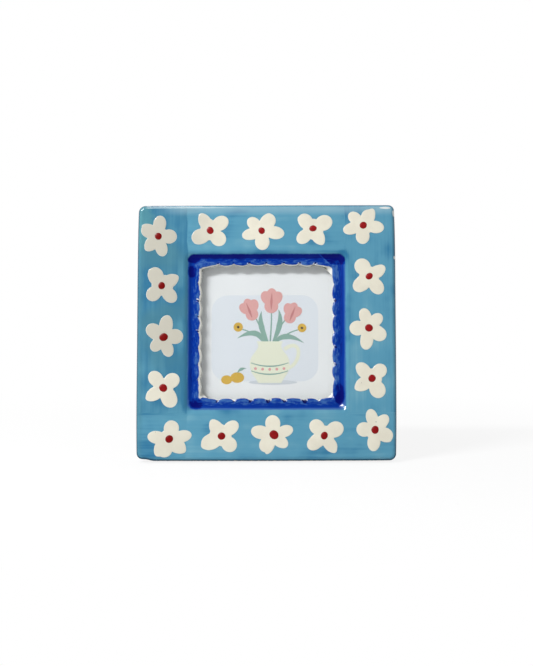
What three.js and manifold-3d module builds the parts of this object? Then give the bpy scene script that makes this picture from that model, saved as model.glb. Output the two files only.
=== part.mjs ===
// A square photo frame of slip-cast glazed ceramic, standing on a hinged easel leg.
// The body is one casting: a flat border with raised slip flowers, a sloping band and a scalloped
// lip round the window, and a hollow back. Glass, picture and filler drop into the rebate from
// behind, a back panel closes it, and four turn buttons on the back strips hold the panel in.
//
// Millimetres and degrees. Every piece is drawn in the frame's own axes: x to the right, y up the
// face, z out of the face, with z = 0 on the border. The frame then leans back on the floor, +Z up.

import * as THREE from "three";
import { mergeVertices } from "three/addons/utils/BufferGeometryUtils.js";
import loadManifold from "manifold-3d";

const wasm = await loadManifold();
wasm.setup();

// Stance
const LEAN = 14; // how far the face leans back from upright
const LEG_OPEN = 27; // angle between the back and the leg at its stop
const FOOT_GRIND = 0.8; // ground off the lower back edge, for a flat to stand on

// Ceramic body
const FACE_SIZE = 160;
const FACE_CORNER = 4.5;
const FACE_WALL = 5.5;
const SKIRT_WALL = 5.5;
const WALL_DRAFT = 1.4; // the outer wall draws in by this towards the back, to leave its mould
const SHOULDER = 2.8; // round from the face to the outer wall
const RIM_ROUND = 1;
const RIM_RISE = 0.4; // back rim behind the panel and strips
const LEDGE = 1.5; // step in the outer wall that carries the strips

// Window moulding
const WINDOW_SIZE = 84; // between opposite cusps of the lip
const BAND_WIDTH = 6.3; // from the border's edge to the cusps
const BAND_EDGE = 0.8; // round at the border's edge
const BAND_DROP = 2.9; // from the border down to the foot of the band
const LIP_THICKNESS = 3.1; // from the foot of the band to the glass seat
const LIP_WIDTH = 4.6; // scalloped bead, from the cusps out to the foot of the band
const BEAD_RISE = 0.8;
const SCALLOPS = 8; // along each side
const SCALLOP_SWELL = 0.9; // how far each scallop swells into the window
const STEPS_PER_SCALLOP = 4;

// Picture stack and back
const REBATE_LAP = 3; // from the cusps out to the rebate wall
const REBATE_CORNER = 1.2;
const FLANGE_WALL = 4.5;
const GLASS_THICKNESS = 2;
const CARD_THICKNESS = 0.4;
const FILLER_THICKNESS = 2;
const PANEL_THICKNESS = 3;
const STRIP_THICKNESS = 5;
const STRIP_CORNER = 2.2;
const SEAT_GAP = 0.3; // between faces that rest on each other
const EDGE_GAP = 0.4; // round what drops into the rebate or between the strips

// Turn buttons and their screws
const BUTTON_WIDTH = 8;
const BUTTON_REACH = 12; // from the screw to the tip over the panel
const BUTTON_SHEET = 0.8;
const BUTTON_SETBACK = 7.4; // from the rebate wall out to the screw
const BUTTON_SPREAD = 50; // between the two on one side
const SCREW_SHANK = 1.5;
const SCREW_HEAD = 3.2;
const SCREW_HEAD_RISE = 1.9;
const SCREW_BITE = 3.6; // length in the strip

// Leg hinge
const HINGE_HEIGHT = 28; // pin above the middle of the face
const HINGE_WIDTH = 28;
const HINGE_LEAF = 17; // from the pin to the end of each leaf
const HINGE_SHEET = 0.8;
const HINGE_CORNER = 2.5;
const KNUCKLE_RADIUS = 1.8;
const KNUCKLE_MIDDLE = 12; // length of the leg's knuckle
const KNUCKLE_GAP = 0.4;
const PIN_RADIUS = 0.8;
const PIN_FIT = 0.2; // round the pin
const PIN_HEAD = 1.4;
const HEEL_WIDTH = 9; // tongue of the leg's leaf that stops on the panel's leaf
const HEEL_REACH = 6.5;

// Rivets of the hinge
const RIVET_SHANK = 1.2;
const RIVET_HEAD = 2.4;
const RIVET_HEAD_RISE = 1;
const RIVET_SPREAD = 18;
const RIVET_FROM_PIN = 10.5;
const HOLE_FIT = 0.3; // round screws and rivets in their holes

// Easel leg
const LEG_THICKNESS = 3;
const LEG_TOP_WIDTH = 32;
const LEG_FOOT_WIDTH = 46;
const LEG_CORNER = 4;

// Slip flowers on the border
const PETAL_RISE = 0.35;
const PETAL_HEART = 6.3; // radius of the filled middle
const PETAL_MIDDLE = 0.58; // middle of a petal's ellipse, as a share of its length
const PETAL_STEPS = 44;
const EYE_RISE = 0.7;

// Facets
const CORNER_STEPS = 5;
const ROUND_STEPS = 16;

// Each flower: its place on the border, counted in flower spacings from the middle of the face, the
// painter's drift from that place, the eye's radius, and each petal's [direction, length, width].
const FLOWERS = {
  top_1: { place: [-2, 2], drift: [-2.9, -3.8], eye: 2.1,
    petals: [[84, 13.2, 7.8], [-1, 11.6, 9], [-77, 13.2, 7.2], [231, 11.5, 7.5], [158, 11.9, 8.5]] },
  top_2: { place: [-1, 2], drift: [-2.6, -0.2], eye: 2.3,
    petals: [[117, 12.5, 6.5], [35, 13.3, 8.5], [-47, 12.4, 8], [214, 12.7, 9.5]] },
  top_3: { place: [0, 2], drift: [-2.6, -0.4], eye: 2,
    petals: [[193, 12.3, 7.2], [135, 11.4, 8], [57, 12.4, 8.5], [-8, 13.7, 8], [-89, 12.1, 8.5]] },
  top_4: { place: [1, 2], drift: [-2.7, 0.9], eye: 2,
    petals: [[132, 11.6, 8], [31, 13.5, 8.5], [-57, 12.2, 6.5], [223, 12.9, 8]] },
  top_5: { place: [2, 2], drift: [-3.5, 2.8], eye: 2.1,
    petals: [[138, 11.7, 7.5], [59, 11.8, 8], [-7, 12.9, 7.8], [-90, 11.8, 8.4], [197, 12.8, 7]] },
  right_1: { place: [2, 1], drift: [0, 2.6], eye: 2.1,
    petals: [[123, 12.5, 9], [31, 11.4, 7.5], [-51, 13, 8], [221, 12.5, 8.5]] },
  right_2: { place: [2, 0], drift: [-0.4, 2.2], eye: 2.2,
    petals: [[103, 12.9, 7], [48, 11.4, 7], [-33, 12.1, 8], [-98, 13.4, 7.5], [180, 12, 9]] },
  right_3: { place: [2, -1], drift: [1.2, 2.7], eye: 2.1,
    petals: [[135, 13.3, 8], [45, 11.7, 8.5], [-60, 13.1, 8.5], [213, 12.2, 7.5]] },
  bottom_5: { place: [2, -2], drift: [2.9, 2.9], eye: 2.3,
    petals: [[101, 13.4, 7], [48, 12.1, 6.5], [-29, 11.7, 8], [-94, 12.8, 7.4], [176, 11.3, 8.6]] },
  bottom_4: { place: [1, -2], drift: [3.8, -0.6], eye: 2.1,
    petals: [[130, 12, 8.5], [34, 13.5, 8.5], [-56, 13, 7], [221, 12.6, 8]] },
  bottom_3: { place: [0, -2], drift: [5, -0.1], eye: 2.7,
    petals: [[93, 12.5, 9], [20, 12.2, 7.5], [-45, 10.7, 7.5], [242, 12.8, 7.5], [170, 14.1, 7.5]] },
  bottom_2: { place: [-1, -2], drift: [4.8, -0.8], eye: 2.2,
    petals: [[122, 12.1, 7], [43, 13.3, 8], [-45, 12.1, 8], [212, 13.5, 9]] },
  bottom_1: { place: [-2, -2], drift: [4.8, -2.6], eye: 2.3,
    petals: [[84, 11.6, 9], [12, 14, 7.5], [-41, 12.7, 7.5], [240, 12.5, 9], [173, 13.9, 7.5]] },
  left_3: { place: [-2, -1], drift: [0.9, -3], eye: 2.3,
    petals: [[133, 13, 8.5], [42, 12.1, 8], [-60, 13.7, 8.5], [214, 13.1, 7]] },
  left_2: { place: [-2, 0], drift: [0.9, -3.3], eye: 2.4,
    petals: [[82, 13.8, 8], [3, 12.2, 9], [-73, 12.9, 7], [229, 11.7, 7.5], [157, 12.2, 9.5]] },
  left_1: { place: [-2, 1], drift: [-0.6, -3], eye: 2.1,
    petals: [[124, 13, 9.5], [32, 12, 7], [-50, 13.2, 8], [223, 12.3, 8.5]] },
};

// Half sizes, from the middle of the face outwards
const cuspHalf = WINDOW_SIZE / 2;
const rebateHalf = cuspHalf + REBATE_LAP;
const flangeHalf = rebateHalf + FLANGE_WALL;
const bandHalf = cuspHalf + BAND_WIDTH;
const faceHalf = FACE_SIZE / 2;
const backHalf = faceHalf - WALL_DRAFT;
const skirtHalf = faceHalf - SKIRT_WALL;
const recessHalf = skirtHalf + LEDGE;
const borderHalf = (faceHalf + bandHalf) / 2;
const flowerSpacing = borderHalf / 2;

// Depths behind the border, from the front backwards
const glassSeat = -(BAND_DROP + LIP_THICKNESS);
const glassFront = glassSeat - SEAT_GAP;
const cardFront = glassFront - GLASS_THICKNESS - SEAT_GAP;
const fillerFront = cardFront - CARD_THICKNESS - SEAT_GAP;
const panelFront = fillerFront - FILLER_THICKNESS - SEAT_GAP;
const panelBack = panelFront - PANEL_THICKNESS;
const rimBack = panelBack - RIM_RISE;
const stripFront = panelBack + STRIP_THICKNESS;
const ledgeDepth = stripFront + SEAT_GAP;
const hardwareFront = panelBack - SEAT_GAP;
const pinDepth = hardwareFront - KNUCKLE_RADIUS;
const leafBack = hardwareFront - HINGE_SHEET;

const radians = THREE.MathUtils.degToRad;

// Leaning group, and inside it the leg's group on the hinge pin, opened to its stop
const leaning = new THREE.Group();
leaning.rotation.x = radians(90 - LEAN);
const leg = new THREE.Group();
leg.position.set(0, HINGE_HEIGHT, pinDepth);
leg.rotation.x = radians(LEG_OPEN);
leaning.add(leg);

// Height of a point of the frame's own axes once it leans, before it is lifted to the floor
const leaningHeight = (y, z) => y * Math.cos(radians(LEAN)) + z * Math.sin(radians(LEAN));
const floorHeight = leaningHeight(-backHalf, rimBack) + FOOT_GRIND;

// Closed geometry to a solid for joining and cutting
function solid(geometry) {
  const bare = geometry.clone();
  bare.deleteAttribute("normal");
  bare.deleteAttribute("uv");
  const merged = mergeVertices(bare, 1e-4);
  const vertProperties = new Float32Array(merged.attributes.position.array);
  const triVerts = new Uint32Array(merged.index.array);
  return new wasm.Manifold(new wasm.Mesh({ numProp: 3, vertProperties, triVerts }));
}

// Solid back to a geometry
function geometryOf(body) {
  const mesh = body.getMesh();
  const geometry = new THREE.BufferGeometry();
  geometry.setAttribute("position", new THREE.BufferAttribute(mesh.vertProperties, 3));
  geometry.setIndex(new THREE.BufferAttribute(mesh.triVerts, 1));
  return geometry;
}

// Everything below the floor, in the axes of the group that holds the piece to be cut
function underFloor(group) {
  const depth = FACE_SIZE;
  const block = new THREE.BoxGeometry(2 * FACE_SIZE, 2 * FACE_SIZE, depth);
  block.translate(0, 0, floorHeight - depth / 2);
  leaning.updateMatrixWorld(true);
  block.applyMatrix4(group.matrixWorld.clone().invert());
  return solid(block);
}

// Flat piece with an outline in x and y, between two depths
function plate(shape, front, back) {
  const geometry = new THREE.ExtrudeGeometry(shape, {
    depth: front - back, bevelEnabled: false, curveSegments: CORNER_STEPS,
  });
  return geometry.translate(0, 0, back);
}

// Rectangle with rounded corners, given by its middle
function roundedRectangle(width, height, radius, x = 0, y = 0) {
  const right = width / 2 - radius;
  const top = height / 2 - radius;
  const shape = new THREE.Shape();
  shape.absarc(x + right, y + top, radius, 0, Math.PI / 2);
  shape.absarc(x - right, y + top, radius, Math.PI / 2, Math.PI);
  shape.absarc(x - right, y - top, radius, Math.PI, 1.5 * Math.PI);
  shape.absarc(x + right, y - top, radius, 1.5 * Math.PI, 2 * Math.PI);
  return shape;
}

// Round hole or shank along z, at a place in x and y
function roundBar(radius, front, back, x = 0, y = 0) {
  const bar = new THREE.CylinderGeometry(radius, radius, front - back, ROUND_STEPS);
  return bar.rotateX(Math.PI / 2).translate(x, y, (front + back) / 2);
}

// Round bar along x, between two places
function crossBar(radius, left, right) {
  const bar = new THREE.CylinderGeometry(radius, radius, right - left, ROUND_STEPS);
  return bar.rotateZ(Math.PI / 2).translate((left + right) / 2, 0, 0);
}

// Solid with round holes drilled through it
function drilled(body, radius, places, front, back) {
  return places.reduce((left, [x, y]) => left.subtract(solid(roundBar(radius, front, back, x, y))), body);
}

// Domed head on a shank, standing along -z from a seat at z = 0, with the shank running to +z
function headedShank(headRadius, headRise, shankRadius, shankLength) {
  const dome = [0, 1, 2, 3].map((step) => {
    const turn = (step / 3) * (Math.PI / 2);
    return new THREE.Vector2(headRadius * Math.sin(turn), -headRise * Math.cos(turn));
  });
  const profile = [
    ...dome,
    new THREE.Vector2(shankRadius, 0),
    new THREE.Vector2(shankRadius, shankLength),
    new THREE.Vector2(0, shankLength),
  ];
  return new THREE.LatheGeometry(profile, ROUND_STEPS).rotateX(Math.PI / 2);
}

// Loops of points, one after the other and back to the first, skinned into a closed ring
function ringLoft(loops) {
  const count = loops[0].length;
  const position = new THREE.Float32BufferAttribute(loops.flat(2), 3);
  const index = [];
  loops.forEach((loop, i) => {
    const here = i * count;
    const next = ((i + 1) % loops.length) * count;
    loop.forEach((point, j) => {
      const k = (j + 1) % count;
      index.push(here + j, here + k, next + k, here + j, next + k, next + j);
    });
  });
  const geometry = new THREE.BufferGeometry();
  geometry.setAttribute("position", position);
  geometry.setIndex(index);
  return geometry;
}

// Loop of a square with rounded corners at one depth, counter-clockwise from the front
function squareLoop([half, corner, depth]) {
  const loop = [];
  for (let side = 0; side < 4; side += 1) {
    const start = side * (Math.PI / 2);
    const centre = new THREE.Vector2(half - corner, half - corner).rotateAround(new THREE.Vector2(), start);
    for (let step = 0; step <= CORNER_STEPS; step += 1) {
      const turn = start + (step / CORNER_STEPS) * (Math.PI / 2);
      loop.push([centre.x + corner * Math.cos(turn), centre.y + corner * Math.sin(turn), depth]);
    }
  }
  return loop;
}

// Loop of the lip: a square whose sides swell inwards and forwards between the cusps
function scallopLoop([half, swell, depth, rise]) {
  const loop = [];
  const steps = SCALLOPS * STEPS_PER_SCALLOP;
  for (let side = 0; side < 4; side += 1) {
    for (let step = 0; step < steps; step += 1) {
      const bulge = Math.abs(Math.sin((step / STEPS_PER_SCALLOP) * Math.PI));
      const along = half * ((2 * step) / steps - 1);
      const point = new THREE.Vector2(half - swell * bulge, along);
      point.rotateAround(new THREE.Vector2(), side * (Math.PI / 2));
      loop.push([point.x, point.y, depth + rise * bulge]);
    }
  }
  return loop;
}

// Cast body: outer wall, shoulder, border, band, rebate, flange, hollow channel, ledge and back rim
function castBody() {
  const innerCorner = FACE_CORNER - SHOULDER;
  const shoulder = [0, 1, 2, 3].map((step) => {
    const turn = (step / 3) * (Math.PI / 2);
    const inset = SHOULDER * (1 - Math.cos(turn));
    return [faceHalf - inset, FACE_CORNER - inset, -SHOULDER * (1 - Math.sin(turn))];
  });
  const footHalf = cuspHalf + LIP_WIDTH;
  const slope = (share) => bandHalf + (footHalf - bandHalf) * share;
  const seamHalf = cuspHalf + LIP_WIDTH / 3;
  const outline = [
    ...shoulder,
    [bandHalf + BAND_EDGE, BAND_WIDTH / 2 + BAND_EDGE, 0],
    [bandHalf + BAND_EDGE / 4, BAND_WIDTH / 2, -BAND_EDGE / 3],
    [bandHalf, BAND_WIDTH / 2, -BAND_EDGE],
    [slope(0.45), BAND_WIDTH / 3, -0.7 * BAND_DROP],
    [footHalf, REBATE_CORNER, -BAND_DROP],
    [seamHalf, REBATE_CORNER, -BAND_DROP - LIP_THICKNESS / 4],
    [seamHalf, REBATE_CORNER, glassSeat],
    [rebateHalf, REBATE_CORNER, glassSeat],
    [rebateHalf, REBATE_CORNER, ledgeDepth],
    [flangeHalf, innerCorner + FLANGE_WALL / 2, ledgeDepth],
    [flangeHalf, innerCorner + FLANGE_WALL / 2, -FACE_WALL],
    [skirtHalf, innerCorner, -FACE_WALL],
    [skirtHalf, innerCorner, ledgeDepth],
    [recessHalf, innerCorner, ledgeDepth],
    [recessHalf, innerCorner, rimBack],
    [backHalf - RIM_ROUND, FACE_CORNER - RIM_ROUND, rimBack],
    [backHalf - 0.3 * RIM_ROUND, FACE_CORNER, rimBack + 0.3 * RIM_ROUND],
    [backHalf, FACE_CORNER, rimBack + RIM_ROUND],
  ];
  return solid(ringLoft(outline.map(squareLoop)));
}

// Scalloped bead and lip round the window, one closed ring that overlaps the foot of the band
function scallopedLip() {
  const footHalf = cuspHalf + LIP_WIDTH;
  const foot = -BAND_DROP;
  const outline = [
    [footHalf, 0, foot - 0.05 * LIP_THICKNESS, 0],
    [cuspHalf + 0.65 * LIP_WIDTH, 0, foot + 0.1 * BEAD_RISE, 0.6 * BEAD_RISE],
    [cuspHalf + 0.35 * LIP_WIDTH, 0.5 * SCALLOP_SWELL, foot + 0.3 * BEAD_RISE, BEAD_RISE],
    [cuspHalf + 0.1 * LIP_WIDTH, 0.9 * SCALLOP_SWELL, foot, BEAD_RISE],
    [cuspHalf, SCALLOP_SWELL, foot - 0.25 * LIP_THICKNESS, 0.3 * BEAD_RISE],
    [cuspHalf, SCALLOP_SWELL, glassSeat + 0.2 * LIP_THICKNESS, 0],
    [cuspHalf + 0.15 * LIP_WIDTH, SCALLOP_SWELL, glassSeat, 0],
    [cuspHalf + 0.6 * LIP_WIDTH, 0, glassSeat, 0],
  ];
  return solid(ringLoft(outline.map(scallopLoop)));
}

function ceramicFrame() {
  return geometryOf(castBody().add(scallopedLip()).subtract(underFloor(leaning)));
}

// What drops into the rebate: a square plate with a clearance all round
function rebatePlate(front, thickness) {
  const size = 2 * (rebateHalf - EDGE_GAP);
  return plate(roundedRectangle(size, size, REBATE_CORNER + EDGE_GAP), front, front - thickness);
}

const rivetPlaces = (direction) =>
  [-1, 1].map((side) => [(side * RIVET_SPREAD) / 2, direction * RIVET_FROM_PIN]);
const panelRivets = rivetPlaces(1).map(([x, y]) => [x, y + HINGE_HEIGHT]);
const legRivets = rivetPlaces(-1);

function backPanel() {
  const blank = solid(rebatePlate(panelFront, PANEL_THICKNESS));
  return geometryOf(drilled(blank, RIVET_SHANK + HOLE_FIT, panelRivets, panelFront + 1, panelBack - 1));
}

// Strip of the back between the flange and the outer wall; the upper and lower ones run full width
const buttonX = rebateHalf + BUTTON_SETBACK;
function backStrip([x, y]) {
  const outer = recessHalf - SEAT_GAP;
  const width = outer - rebateHalf;
  const middle = (outer + rebateHalf) / 2;
  const length = x === 0 ? 2 * outer : 2 * (rebateHalf - SEAT_GAP);
  const shape = x === 0
    ? roundedRectangle(length, width, STRIP_CORNER, 0, y * middle)
    : roundedRectangle(width, length, STRIP_CORNER, x * middle, 0);
  const screws = x === 0 ? [] : [-1, 1].map((end) => [x * buttonX, (end * BUTTON_SPREAD) / 2]);
  const blank = solid(plate(shape, stripFront, panelBack));
  return geometryOf(drilled(blank, SCREW_SHANK + HOLE_FIT, screws, stripFront + 1, panelBack - 1));
}

// Turn button about its screw, with the tip towards -x
function turnButton() {
  const end = BUTTON_WIDTH / 2;
  const length = BUTTON_REACH + end;
  const shape = roundedRectangle(length, BUTTON_WIDTH, 0.98 * end, (end - BUTTON_REACH) / 2, 0);
  const blank = solid(plate(shape, 0, -BUTTON_SHEET));
  return geometryOf(drilled(blank, SCREW_SHANK + HOLE_FIT, [[0, 0]], 1, -BUTTON_SHEET - 1));
}

function buttonScrew() {
  const shank = SEAT_GAP + BUTTON_SHEET + SEAT_GAP + SCREW_BITE;
  return headedShank(SCREW_HEAD, SCREW_HEAD_RISE, SCREW_SHANK, shank);
}

// Knuckle along x with the bore for the pin, round the origin
function knuckle(left, right) {
  const bore = solid(crossBar(PIN_RADIUS + PIN_FIT, left - 1, right + 1));
  return { body: solid(crossBar(KNUCKLE_RADIUS, left, right)), bore };
}

// Flat leaf in front of the pin, from the pin's line to its far end, riveted through two holes
function leafPlate(direction, places) {
  const shape = roundedRectangle(HINGE_WIDTH, HINGE_LEAF, HINGE_CORNER, 0, direction * (HINGE_LEAF / 2));
  const blank = solid(plate(shape, KNUCKLE_RADIUS, KNUCKLE_RADIUS - HINGE_SHEET));
  return drilled(blank, RIVET_SHANK + HOLE_FIT, places, KNUCKLE_RADIUS + 1, -1);
}

// Room round the other leaf's knuckle
function knuckleRoom(left, right) {
  return solid(crossBar(KNUCKLE_RADIUS + KNUCKLE_GAP, left, right));
}

const middleEnd = KNUCKLE_MIDDLE / 2;
const hingeEnd = HINGE_WIDTH / 2;

// Panel leaf above the pin, with a knuckle at each end and a notch for the leg's knuckle
function panelLeaf() {
  const ends = [[-hingeEnd, -middleEnd], [middleEnd, hingeEnd]].map(([from, to]) => knuckle(from, to));
  const room = knuckleRoom(-middleEnd, middleEnd);
  const leaf = leafPlate(1, rivetPlaces(1)).subtract(room);
  return geometryOf(ends.reduce((body, end) => body.add(end.body).subtract(end.bore), leaf));
}

// Leg leaf below the pin, with the middle knuckle and the heel that stops the leg at its angle
function legLeaf() {
  const { body, bore } = knuckle(-middleEnd + KNUCKLE_GAP, middleEnd - KNUCKLE_GAP);
  const heelFront = leafBack - SEAT_GAP - pinDepth;
  const heelShape = roundedRectangle(HEEL_WIDTH, HEEL_REACH, HEEL_WIDTH / 5, 0, HEEL_REACH / 2);
  const heel = plate(heelShape, heelFront, heelFront - HINGE_SHEET).rotateX(-radians(LEG_OPEN));
  const rooms = knuckleRoom(-hingeEnd - 1, KNUCKLE_GAP - middleEnd)
    .add(knuckleRoom(middleEnd - KNUCKLE_GAP, hingeEnd + 1));
  return geometryOf(leafPlate(-1, legRivets).subtract(rooms).add(body).add(solid(heel)).subtract(bore));
}

// Pin through all three knuckles, headed at both ends
function hingePin() {
  const end = hingeEnd + SEAT_GAP;
  const profile = [
    [0, -end - PIN_RADIUS], [PIN_HEAD, -end - PIN_RADIUS / 2], [PIN_HEAD, -end], [PIN_RADIUS, -end],
    [PIN_RADIUS, end], [PIN_HEAD, end], [PIN_HEAD, end + PIN_RADIUS / 2], [0, end + PIN_RADIUS],
  ];
  const points = profile.map(([radius, x]) => new THREE.Vector2(radius, x));
  return new THREE.LatheGeometry(points, ROUND_STEPS).rotateZ(-Math.PI / 2);
}

// Tapered leg behind its leaf, cut level at the foot where it meets the floor
const legFront = KNUCKLE_RADIUS - HINGE_SHEET - SEAT_GAP;
const legBack = legFront - LEG_THICKNESS;
function easelLeg() {
  const pinHeight = leaningHeight(HINGE_HEIGHT, pinDepth) - floorHeight;
  const length = pinHeight / Math.cos(radians(LEG_OPEN - LEAN)) + LEG_THICKNESS;
  const top = -KNUCKLE_RADIUS - KNUCKLE_GAP;
  const topHalf = LEG_TOP_WIDTH / 2;
  const footHalf = LEG_FOOT_WIDTH / 2;
  const shape = new THREE.Shape();
  shape.moveTo(-footHalf, -length);
  shape.lineTo(footHalf, -length);
  shape.lineTo(topHalf, top - LEG_CORNER);
  shape.quadraticCurveTo(topHalf, top, topHalf - LEG_CORNER, top);
  shape.lineTo(LEG_CORNER - topHalf, top);
  shape.quadraticCurveTo(-topHalf, top, -topHalf, top - LEG_CORNER);
  const blank = solid(plate(shape, legFront, legBack)).subtract(underFloor(leg));
  return geometryOf(drilled(blank, RIVET_SHANK + HOLE_FIT, legRivets, legFront + 1, legBack - 1));
}

// Outline of a flower: at each angle the farthest of the filled heart and the petals' ellipses
function flowerShape(petals) {
  const reach = (angle) => petals.reduce((far, [direction, length, width]) => {
    const middle = PETAL_MIDDLE * length;
    const longAxis = length - middle;
    const turn = angle - radians(direction);
    const across = Math.cos(turn) / longAxis;
    const a = across ** 2 + (Math.sin(turn) / (width / 2)) ** 2;
    const b = (middle / longAxis) * across;
    const inside = b ** 2 - a * ((middle / longAxis) ** 2 - 1);
    return inside > 0 && across > 0 ? Math.max(far, (b + Math.sqrt(inside)) / a) : far;
  }, PETAL_HEART);
  const points = Array.from({ length: PETAL_STEPS }, (_, step) => {
    const angle = (step / PETAL_STEPS) * 2 * Math.PI;
    return new THREE.Vector2(reach(angle) * Math.cos(angle), reach(angle) * Math.sin(angle));
  });
  return new THREE.Shape(points);
}

// Low dome of slip on the middle of a flower
function flowerEye(radius) {
  const profile = [
    [0, 0], [radius, 0], [0.92 * radius, 0.5 * EYE_RISE], [0.6 * radius, 0.88 * EYE_RISE], [0, EYE_RISE],
  ];
  const points = profile.map(([x, y]) => new THREE.Vector2(x, y));
  return new THREE.LatheGeometry(points, ROUND_STEPS - 4).rotateX(Math.PI / 2);
}

// Materials
const finish = (color, roughness, metalness = 0) =>
  new THREE.MeshStandardMaterial({ color, roughness, metalness });
const blueGlaze = finish(0x5c9bb5, 0.15);
const creamSlip = finish(0xe6e2d2, 0.25);
const redSlip = finish(0x8a1519, 0.15);
const clearGlass = finish(0xe8f0ee, 0.05);
const whiteCard = finish(0xe6e7ea, 0.8);
const greyBoard = finish(0x9a948a, 0.9);
const blackBoard = finish(0x1d1c1d, 0.95);
const brownBoard = finish(0x8f6f4c, 0.85);
const zincSteel = finish(0xb6b9bb, 0.35, 1);

function add(group, name, geometry, material, place = [0, 0, 0]) {
  const mesh = new THREE.Mesh(geometry, material);
  mesh.name = name;
  mesh.position.set(...place);
  group.add(mesh);
  return mesh;
}

// Body and picture stack
add(leaning, "ceramic_frame", ceramicFrame(), blueGlaze);
add(leaning, "glass_pane", rebatePlate(glassFront, GLASS_THICKNESS), clearGlass);
add(leaning, "picture_card", rebatePlate(cardFront, CARD_THICKNESS), whiteCard);
add(leaning, "filler_card", rebatePlate(fillerFront, FILLER_THICKNESS), greyBoard);
add(leaning, "back_panel", backPanel(), blackBoard);
for (const [side, direction] of Object.entries({ top: [0, 1], bottom: [0, -1], left: [-1, 0], right: [1, 0] })) {
  add(leaning, `back_strip_${side}`, backStrip(direction), brownBoard);
}

// Turn buttons, two on each side strip, with their tips over the panel
for (const [side, x] of [["left", -1], ["right", 1]]) {
  for (const [level, y] of [["upper", 1], ["lower", -1]]) {
    const place = [x * buttonX, (y * BUTTON_SPREAD) / 2, hardwareFront];
    const button = add(leaning, `turn_button_${side}_${level}`, turnButton(), zincSteel, place);
    button.rotation.z = x < 0 ? Math.PI : 0;
    const seat = [place[0], place[1], hardwareFront - BUTTON_SHEET - SEAT_GAP];
    add(leaning, `button_screw_${side}_${level}`, buttonScrew(), zincSteel, seat);
  }
}

// Hinge and leg
const pinPlace = [0, HINGE_HEIGHT, pinDepth];
const panelRivetLength = SEAT_GAP + HINGE_SHEET + SEAT_GAP + PANEL_THICKNESS - SEAT_GAP;
const legRivetLength = SEAT_GAP + LEG_THICKNESS + SEAT_GAP + HINGE_SHEET - SEAT_GAP;
const rivet = (length) => headedShank(RIVET_HEAD, RIVET_HEAD_RISE, RIVET_SHANK, length);
add(leaning, "hinge_leaf_panel", panelLeaf(), zincSteel, pinPlace);
add(leaning, "hinge_pin", hingePin(), zincSteel, pinPlace);
add(leg, "hinge_leaf_leg", legLeaf(), zincSteel);
add(leg, "easel_leg", easelLeg(), blackBoard);
["left", "right"].forEach((side, i) => {
  const panelSeat = [...panelRivets[i], leafBack - SEAT_GAP];
  const legSeat = [...legRivets[i], legBack - SEAT_GAP];
  add(leaning, `panel_rivet_${side}`, rivet(panelRivetLength), zincSteel, panelSeat);
  add(leg, `leg_rivet_${side}`, rivet(legRivetLength), zincSteel, legSeat);
});

// Flowers round the border
for (const [name, { place, drift, eye, petals }] of Object.entries(FLOWERS)) {
  const [x, y] = place.map((step, axis) => step * flowerSpacing + drift[axis]);
  add(leaning, `petals_${name}`, plate(flowerShape(petals), PETAL_RISE, 0), creamSlip, [x, y, SEAT_GAP]);
  add(leaning, `eye_${name}`, flowerEye(eye), redSlip, [x, y, PETAL_RISE + 2 * SEAT_GAP]);
}

// Stand the frame on the floor, with the origin at the middle of the ground that it covers
const photoFrame = new THREE.Group();
photoFrame.add(leaning);
leaning.position.z = -floorHeight;
const reach = new THREE.Box3().setFromObject(photoFrame, true);
leaning.position.y = -(reach.min.y + reach.max.y) / 2;
leaning.position.x = -(reach.min.x + reach.max.x) / 2;

export default photoFrame;
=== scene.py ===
"""A square photo frame of glazed ceramic on its easel leg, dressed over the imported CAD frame.

Pieces are worked out in the frame's own face axes, in millimetres: x to the right, y up the face,
z out of the face, with z = 0 on the border. lean() takes them to the row's frame in metres.
"""

import math

import bpy
import numpy as np
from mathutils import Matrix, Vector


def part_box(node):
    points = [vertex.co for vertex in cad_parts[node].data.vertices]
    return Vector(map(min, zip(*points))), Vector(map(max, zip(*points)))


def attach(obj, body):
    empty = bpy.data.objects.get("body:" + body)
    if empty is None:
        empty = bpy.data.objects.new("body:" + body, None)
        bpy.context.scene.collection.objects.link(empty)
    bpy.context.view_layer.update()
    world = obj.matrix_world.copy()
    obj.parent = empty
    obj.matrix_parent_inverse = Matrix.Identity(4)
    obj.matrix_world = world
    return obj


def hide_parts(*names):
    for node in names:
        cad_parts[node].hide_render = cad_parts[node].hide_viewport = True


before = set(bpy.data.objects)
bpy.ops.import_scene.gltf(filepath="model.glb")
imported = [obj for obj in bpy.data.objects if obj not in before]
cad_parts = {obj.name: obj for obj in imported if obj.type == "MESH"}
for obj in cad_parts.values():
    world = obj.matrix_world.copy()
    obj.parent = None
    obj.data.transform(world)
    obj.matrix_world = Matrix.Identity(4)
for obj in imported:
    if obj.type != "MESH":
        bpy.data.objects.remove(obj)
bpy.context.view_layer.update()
scene = bpy.context.scene
scene.view_settings.view_transform = "Standard"


# Stance of the frame. The CAD glass is a flat pane whose middle lies 7.3 mm behind the middle of
# the border, so its box gives where the face is, and the lean is the one the casting is ground to.
LEAN = math.radians(14)
GLASS_MIDDLE = -7.3
FACE_NORMAL = np.array((0.0, -math.cos(LEAN), math.sin(LEAN)))
face_middle = np.mean(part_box("glass_pane"), axis=0) - FACE_NORMAL * GLASS_MIDDLE / 1000


def lean(points):
    """Face axes in mm to the row's frame in m: turned about x by a right angle less the lean."""
    x, y, z = np.moveaxis(np.asarray(points, float), -1, 0)
    turned = (x, y * math.sin(LEAN) - z * math.cos(LEAN), y * math.cos(LEAN) + z * math.sin(LEAN))
    return np.stack(turned, -1) / 1000 + face_middle


def on_face(place):
    """A place of the row's frame back to face axes in mm."""
    x, y, z = (np.asarray(place, float) - face_middle) * 1000
    return np.array((x, y * math.sin(LEAN) + z * math.cos(LEAN), z * math.sin(LEAN) - y * math.cos(LEAN)))


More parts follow.
